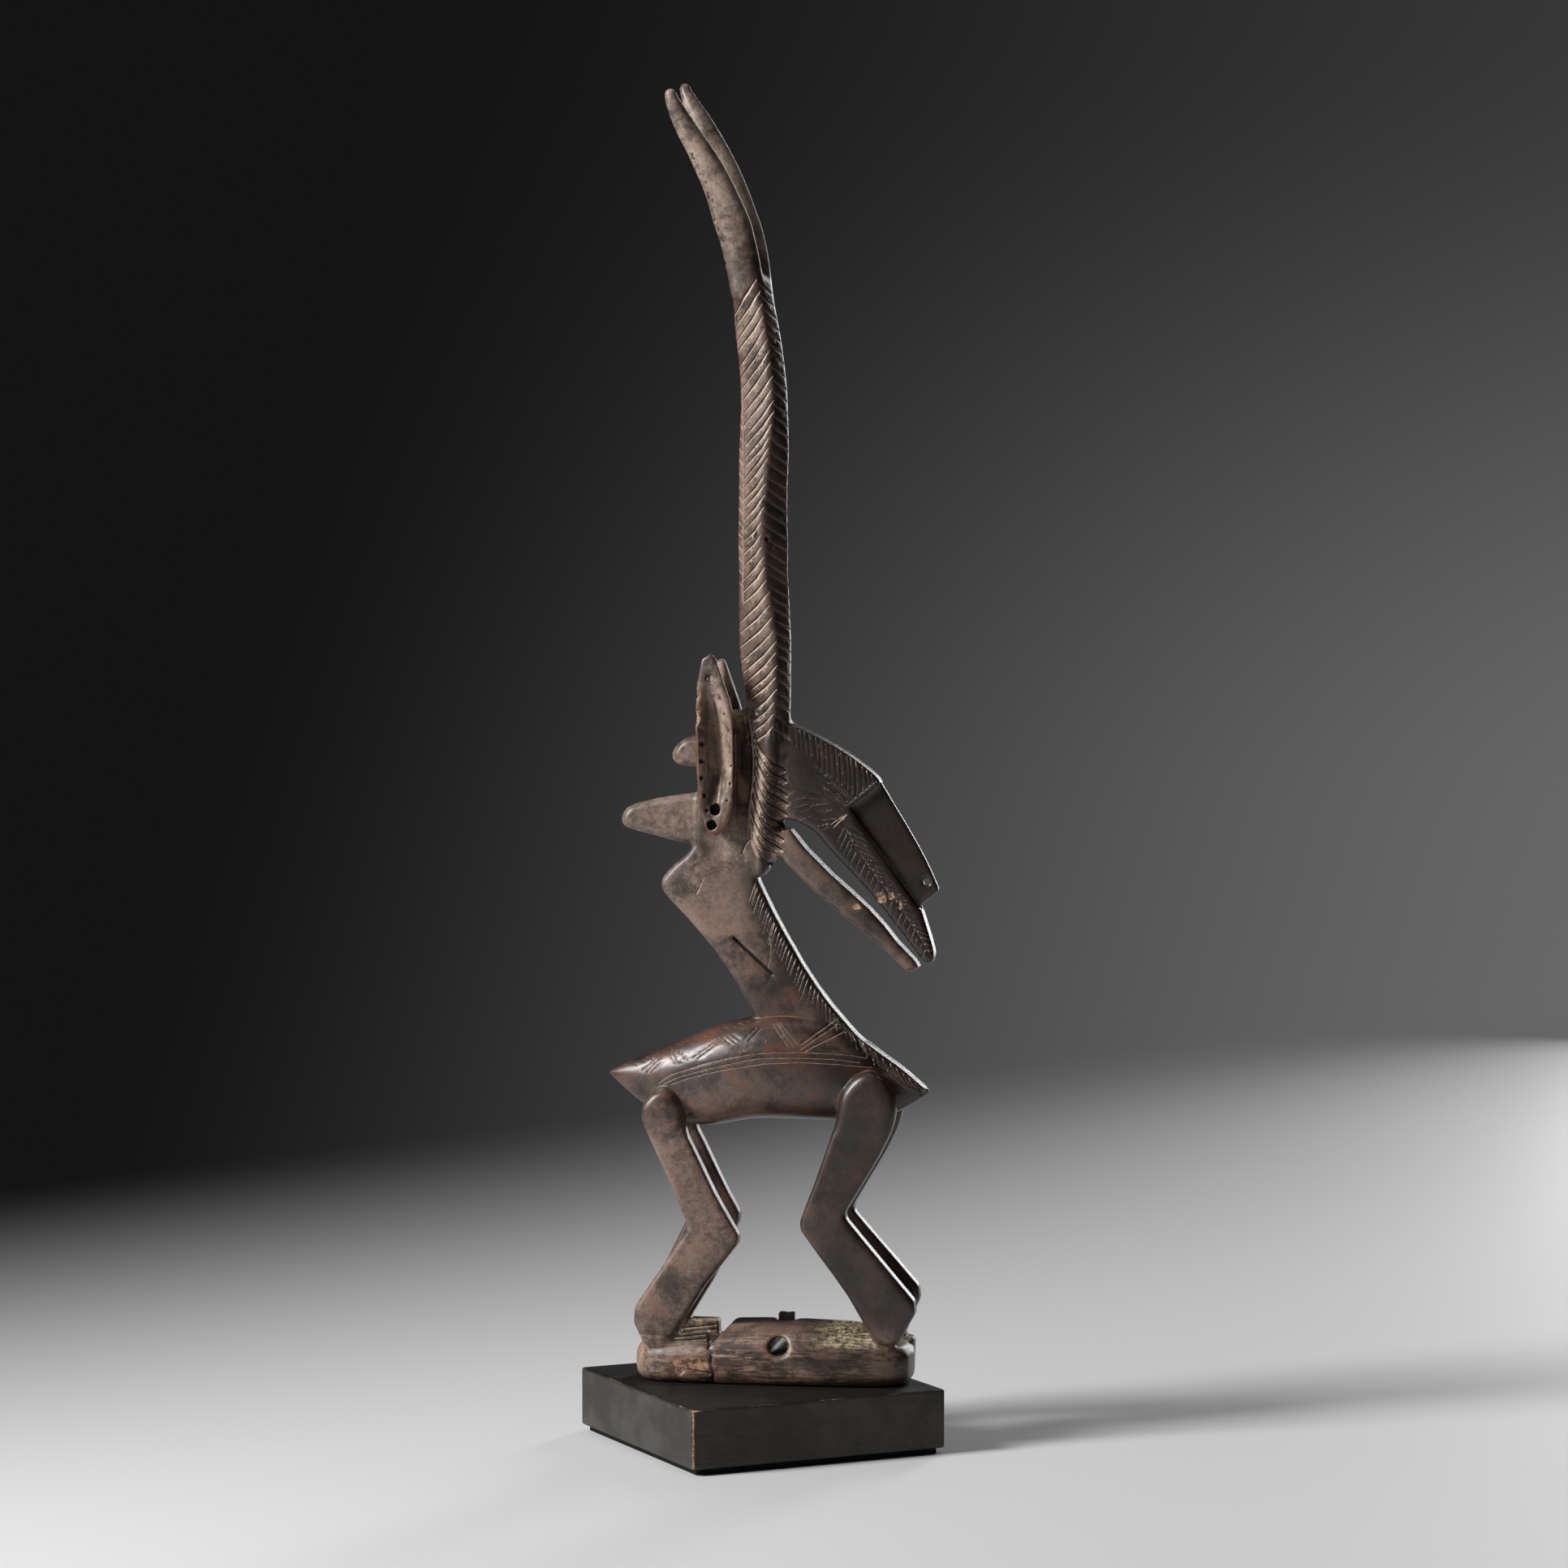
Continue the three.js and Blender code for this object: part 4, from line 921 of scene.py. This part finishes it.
# The beam's near back edge is rubbed red, as the ears' edges are
beam_edge = [(BEAM_BACK(level) + 0.6, level) for level in range(380, 600, 10)]
reddened = reddened + 0.7 * along(beam_edge, -1, 3)


def keep(mesh, name, values):
    held = mesh.attributes.new(name, "FLOAT", "POINT")
    held.data.foreach_set("value", values.astype(np.float32))


on_base = 1 - step(z, 24, 34)
for name, values in [
    ("cut_across", across), ("cut_near", nearness), ("cut_pale", pale_dust_and_light),
    ("cut_bold", boldness), ("bare_wood", raw), ("painted_hollow_shade", hollow_shade),
]:
    keep(dense, name, values)
for name, share in [
    ("crease", step(hollow, 0.04, 0.24) * (nearness < 0.1) + step(broad, 0.35, 1.4)),
    ("rubbed", step(-hollow, 0.03, 0.15) + 0.5 * step(-broad, 0.35, 1.4)),
    ("dry_film_and_light", around(pale_film_and_light, 6)), ("on_base", on_base),
    ("lengthwise", on_base + step(z, 134, 146) * (1 - step(z, 196, 206))),
    ("cream_dust", around(cream, 3)), ("reddened", reddened), ("stained_and_shaded", around(stain_and_shade, 5)),
]:
    keep(dense, name, np.clip(share, 0, 1))

carving = add("carved_headdress", dense)
fine_places = carving.vertex_groups.new(name="fine_cuts")
fine_places.add(np.flatnonzero((nearness > 0.45) | (hollow_shade > 0.05)).tolist(), 1.0, "REPLACE")
thin = carving.modifiers.new("thin", "DECIMATE")
thin.vertex_group = "fine_cuts"
thin.invert_vertex_group = True
triangles = sum(len(p.vertices) - 2 for p in dense.polygons)
thin.ratio = min(1, MOST_TRIANGLES / triangles)
thinned = applied(carving)
carving.modifiers.clear()
carving.vertex_groups.clear()
carving.data = thinned
carving.data.name = "carved_headdress"
bpy.data.meshes.remove(dense)
carving.data.validate()
carving.data.shade_smooth()

# Corners hidden from the sky are painted darker, a painted shade
SHELTER_REACH = 22 * MM
SKY_DIRECTIONS = 10
OFF_SURFACE = 0.9 * MM


def sky_hidden_shade(mesh):
    """The share of the sky around each vertex that the carving itself hides within a reach."""
    places = np.empty(len(mesh.vertices) * 3, np.float32)
    facing = np.empty(len(mesh.vertices) * 3, np.float32)
    mesh.vertices.foreach_get("co", places)
    mesh.vertex_normals.foreach_get("vector", facing)
    places, facing = places.reshape(-1, 3), facing.reshape(-1, 3)
    tree = BVHTree.FromPolygons(places.tolist(), [list(p.vertices) for p in mesh.polygons])
    turns = np.arange(SKY_DIRECTIONS) * math.pi * (3 - math.sqrt(5))
    heights = 1 - 2 * (np.arange(SKY_DIRECTIONS) + 0.5) / SKY_DIRECTIONS
    level = np.sqrt(1 - heights**2)
    spread = np.stack([np.cos(turns) * level, np.sin(turns) * level, heights], -1)
    hidden = np.zeros(len(places))
    for i, (place, normal) in enumerate(zip(places, facing)):
        start = Vector(place + OFF_SURFACE * normal)
        for ray in spread * 0.97 + normal:
            if tree.ray_cast(start, Vector(ray), SHELTER_REACH)[0] is not None:
                hidden[i] += 1
    return hidden / SKY_DIRECTIONS


keep(carving.data, "sky_hidden_shade", sky_hidden_shade(carving.data))


def patina_material():
    material, tree, shader, place = new_material("oiled_wood_patina")

    def held(name):
        return put(tree, "Attribute", {}, attribute_name=name).outputs["Fac"]

    def by(first, second):
        return times(tree, first, second)

    def plus(first, second, clamp=False):
        return sums(tree, "ADD", first, second, clamp)

    def faded(value, start, end):
        return fade(tree, value, start, end)

    def lay(share, *colour):
        """A colour goes over what the wood shows so far, by a share."""
        nonlocal brown
        brown = blend(tree, share, brown, tone(*colour))

    upright = stretched(tree, place, (1, 1, 0.08))
    level = stretched(tree, place, (0.08, 1, 1))
    slant = stretched(tree, place, (1, 1, 0.05), (0, 0.9, 0))
    grain = put(tree, "Mix", {
        0: held("lengthwise"), 2: speckle(tree, upright, 800, 5, 0.6, 0.8),
        3: speckle(tree, level, 520, 6, 0.7, 1.2),
    }, data_type="FLOAT").outputs[0]
    scratches = faded(speckle(tree, slant, 900, 3, 0.5, 0.4), 0.62, 0.7)
    cloud = speckle(tree, place, 26, 4, 0.6, 0.3)
    blotch = speckle(tree, place, 75, 6, 0.7, 0.4)
    mottle = speckle(tree, place, 300, 5, 0.7, 0.2)
    fine = speckle(tree, place, 1500, 4, 0.65)
    grit = speckle(tree, place, 2600, 3, 0.7)

    # Brown wood, redder or blacker in patches under its oil
    brown = blend(tree, faded(cloud, 0.36, 0.64), tone(37, 30, 27), tone(84, 68, 60))
    lay(by(faded(blotch, 0.46, 0.66), 0.55), 94, 56, 44)
    lay(by(faded(speckle(tree, place, 44, 6, 0.75), 0.46, 0.62), 0.75), 24, 20, 19)
    lay(by(faded(grain, 0.5, 0.74), 0.2), 108, 82, 66)

    # The base worn pale along its grain and sooty between, and the high places rubbed
    worn = by(held("on_base"), faded(plus(grain, by(cloud, 0.6)), 0.68, 0.88))
    lay(by(worn, 0.85), 176, 146, 124)
    streak = by(held("lengthwise"), faded(speckle(tree, level, 150, 6, 0.75, 0.8), 0.48, 0.64))
    lay(by(streak, 0.5), 94, 50, 38)
    soot = by(held("on_base"), faded(plus(blotch, by(grain, 0.5)), 0.78, 0.62))
    lay(by(soot, 0.7), 34, 26, 23)
    lay(by(by(held("rubbed"), faded(blotch, 0.3, 0.6)), 0.5), 124, 84, 66)

    # The dry pale film, pinker low down and in places painted light, with grit and fine specks through it
    spread = plus(by(plus(cloud, mottle), 0.5), by(plus(blotch, fine), 0.3))
    pale_film_and_light = by(held("dry_film_and_light"), plus(by(faded(spread, 0.66, 0.94), 0.9), 0.25))
    raised = put(tree, "SeparateXYZ", {0: place}).outputs["Z"]
    film_tone = blend(tree, faded(raised, 200 * MM, 450 * MM), tone(168, 138, 122), tone(172, 150, 134))
    brown = blend(tree, sums(tree, "MULTIPLY", pale_film_and_light, 1.0, clamp=True), brown, film_tone)
    lay(by(faded(grit, 0.54, 0.38), 0.5), 34, 24, 20)
    lay(by(faded(fine, 0.5, 0.66), 0.25), 136, 114, 102)

    # Dark and reddish patches of handling, then the stains and painted shade, rubbed edges, pale dust in
    # creases, painted shade where the sky is hidden, and cream dust
    handled = speckle(tree, place, 52, 9, 0.78, 0.5)
    lay(by(faded(handled, 0.52, 0.4), 0.6), 26, 20, 18)
    glow = by(faded(handled, 0.54, 0.66), rest(tree, faded(raised, 240 * MM, 300 * MM)))
    lay(by(glow, 0.45), 126, 66, 46)
    # Painted shade, with some stain, darkens the head, the right-hand parts and the ear's front wall
    lay(by(held("stained_and_shaded"), 0.84), 25, 18, 13)
    lay(by(held("reddened"), by(faded(mottle, 0.4, 0.6), 0.85)), 122, 44, 28)
    lay(by(by(held("crease"), faded(blotch, 0.35, 0.62)), 0.6), 170, 134, 102)
    # Painted shade where the carving hides the sky, less where the film lies
    shelter = plus(held("sky_hidden_shade"), by(sums(tree, "SUBTRACT", blotch, 0.5), 0.4))
    clear_of_film = sums(tree, "SUBTRACT", 1.0, by(pale_film_and_light, 0.6), clamp=True)
    lay(by(by(faded(shelter, 0.3, 0.75), clear_of_film), 0.85), 18, 14, 12)
    cream = by(held("cream_dust"), faded(plus(mottle, by(grain, 1.2)), 1.0, 1.26))
    lay(by(cream, 0.9), 206, 192, 150)

    # The bold cuts: painted shade on the upper wall, and dust with painted light on the lower one; the fine
    # ones are pale lines of dust
    side = held("cut_across")
    off_line = sums(tree, "ABSOLUTE", side)
    here = faded(held("cut_near"), 0.36, 0.56)
    bold = held("cut_bold")
    shaded_upper_wall = by(faded(side, -0.95, -0.6), rest(tree, faded(side, -0.1, 0.15)))
    lower = by(faded(side, -0.05, 0.2), rest(tree, faded(side, 0.75, 1.2)))
    thread = by(faded(side, -0.5, 0.1), rest(tree, faded(side, 0.5, 1.1)))
    lay(by(by(shaded_upper_wall, here), plus(by(bold, 0.55), 0.35)), 20, 15, 13)
    loose = faded(plus(fine, by(mottle, 0.8)), 0.66, 1.0)
    dust_and_lit_wall = put(tree, "Mix", {0: bold, 2: thread, 3: lower}, data_type="FLOAT").outputs[0]
    kept = plus(by(bold, 0.3), 0.15)
    dust_and_light = by(by(dust_and_lit_wall, here), by(held("cut_pale"), plus(by(loose, 0.75), kept)))
    lay(dust_and_light, 205, 178, 156)
    # Painted shade inside the pits, holes, the neck's slit and the horns' saddle
    lay(by(held("painted_hollow_shade"), 0.85), 16, 12, 11)
    lay(by(faded(fine, 0.72, 0.78), 0.5), 160, 142, 124)

    # Bare wood at the chips
    bare = blend(tree, faded(mottle, 0.4, 0.6), tone(88, 58, 42), tone(178, 140, 112))
    opened = faded(plus(held("bare_wood"), by(mottle, 0.3)), 0.35, 0.6)
    colour = blend(tree, opened, brown, bare)

    matt = plus(0.26, by(fine, 0.2))
    for part, share in [(pale_film_and_light, 0.28), (dust_and_light, 0.3), (held("painted_hollow_shade"), 0.5), (opened, 0.35)]:
        matt = plus(matt, by(part, share), clamp=True)
    feed(tree, shader, {
        "Base Color": colour, "Roughness": matt, "Specular IOR Level": 0.5,
        "Coat Weight": 0.18, "Coat Roughness": 0.24,
    })
    valley = by(sums(tree, "SUBTRACT", 1.0, off_line, clamp=True), here)
    height = plus(by(grain, plus(by(held("on_base"), 0.6), 0.15)), by(fine, 0.04))
    for part, share in [(blotch, 0.6), (mottle, 0.25), (scratches, -0.12), (valley, -1.6)]:
        height = plus(height, by(part, share))
    bumps(tree, shader, height, 0.22 * MM)
    return material


carving.data.materials.clear()
carving.data.materials.append(patina_material())
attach(carving, "root")
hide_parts("headdress")

# Fastening peg
# A short square peg of another wood, driven into the top of the base to hold the figure on
# its basket cap. It has dried, darkened and split along the grain.

low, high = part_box("fastening_peg")
SPLIT_HALF, SPLIT_DEEP, END_ROUGH = 0.9 * MM, 0.3 * MM, 0.3 * MM
split_at = low.x + 0.55 * (high.x - low.x)
peg = eased_block(low, high, 0.7 * MM, 2, 10)
for v in peg.verts:
    split = max(0, 1 - abs(v.co.x - split_at) / SPLIT_HALF)
    if v.co.z > high.z - 1.2 * MM:
        v.co.z -= split * SPLIT_DEEP + END_ROUGH * math.sin(v.co.y * 2400 + v.co.x * 900)
peg_piece = new_piece("split_peg", peg)


def peg_material():
    material, tree, shader, place = new_material("dry_peg_wood")
    grain = speckle(tree, stretched(tree, place, (1, 1, 0.1)), 1400, 5, 0.65)
    fine = speckle(tree, place, 1800, 3)
    colour = blend(tree, fade(tree, grain, 0.38, 0.62), tone(30, 22, 18), tone(78, 58, 45))
    matt = sums(tree, "ADD", 0.45, times(tree, fine, 0.3))
    feed(tree, shader, {"Base Color": colour, "Roughness": matt})
    bumps(tree, shader, grain, 0.25 * MM)
    return material


peg_piece.data.materials.append(peg_material())
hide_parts("fastening_peg")

# Floor and light
# A plain pale floor that fades out behind on the left, a painted falloff of light there, in a dark grey room
# with a painted pool of light low on the right. The main soft light stands left in front, a strip of light
# behind on the right, a weak one low on the left in front, and a soft one hangs above.

FLOOR_RADIUS = 4.0
ground = bmesh.new()
bmesh.ops.create_circle(ground, cap_ends=True, segments=96, radius=FLOOR_RADIUS)
floor = placed("floor", ground)
material, tree, shader, place = new_material("pale_floor")
distance = put(tree, "VectorMath", {0: place}, operation="LENGTH").outputs["Value"]
away = put(tree, "VectorMath", {0: place, 1: (-1, 0.6, 0)}, operation="DOT_PRODUCT").outputs["Value"]
# The floor fades out behind on the left: painted shade where the light falls off
kept = rest(tree, fade(tree, away, 0.0, 1.35))
kept = times(tree, kept, rest(tree, fade(tree, distance, 1.4, 3.8)))
feed(tree, shader, {
    "Base Color": tone(218, 218, 218), "Roughness": 0.6, "Specular IOR Level": 0.2, "Alpha": kept,
})
floor.data.materials.append(material)

world = bpy.data.worlds.new("grey_room")
bpy.context.scene.world = world
world.use_nodes = True
room = world.node_tree
facing = put(room, "TexCoord").outputs["Generated"]


def facing_share(direction, start, end):
    share = put(room, "VectorMath", {0: facing, 1: direction}, operation="DOT_PRODUCT").outputs["Value"]
    return fade(room, share, start, end)


RIGHT_AND_LOW, BEHIND, DOWN = (0.95, 0.15, -0.28), (-0.15, 0.98, 0), (0, 0, -1)
# A painted pool of light on the backdrop, low on the right behind the carving
lit_side = times(room, facing_share(RIGHT_AND_LOW, -0.12, 0.26), facing_share(BEHIND, 0.9, 0.97))
lower = sums(room, "ADD", times(room, facing_share(DOWN, -0.13, 0.05), 0.7), 0.3)
lit_side = times(room, lit_side, lower)
backdrop = blend(room, lit_side, tone(20, 20, 20), tone(108, 108, 108))
room.links.new(backdrop, room.nodes["Background"].inputs[0])


def soft_light(name, place, aim, width, height, power):
    lamp = bpy.data.lights.new(name, "AREA")
    lamp.shape = "RECTANGLE"
    lamp.size, lamp.size_y = width, height
    lamp.energy = power
    lit = add(name, lamp)
    lit.location = place
    lit.rotation_euler = (Vector(aim) - Vector(place)).to_track_quat("-Z", "Y").to_euler()
    lit.visible_camera = False


soft_light("key", (-1.65, -1.1, 1.45), (0, 0, 0.35), 0.55, 0.9, 74)
soft_light("rim", (0.6, 2.15, 0.85), (0, 0, 0.35), 0.3, 1.6, 15)
soft_light("low_fill", (-1.6, -1.9, 0.3), (0, 0, 0.3), 1.2, 0.8, 2.5)
soft_light("top", (0.1, 0.3, 2.2), (0, 0, 0.2), 1.2, 1.2, 7)
bpy.context.scene.view_settings.view_transform = "Standard"

# Camera
# It stands a little above the body's height and to the right, with a long lens.

CAMERA_PLACE = (393.4 * MM, -2402.1 * MM, 460.5 * MM)
CAMERA_AIM = Vector((-0.1563, 0.9869, -0.0407))
FOCAL_LENGTH, SENSOR_WIDTH = 102.5, 36
lens = bpy.data.cameras.new("camera")
lens.lens = FOCAL_LENGTH
lens.sensor_width = SENSOR_WIDTH
camera = add("camera", lens)
camera.location = CAMERA_PLACE
camera.rotation_euler = CAMERA_AIM.to_track_quat("-Z", "Y").to_euler()
bpy.context.scene.camera = camera
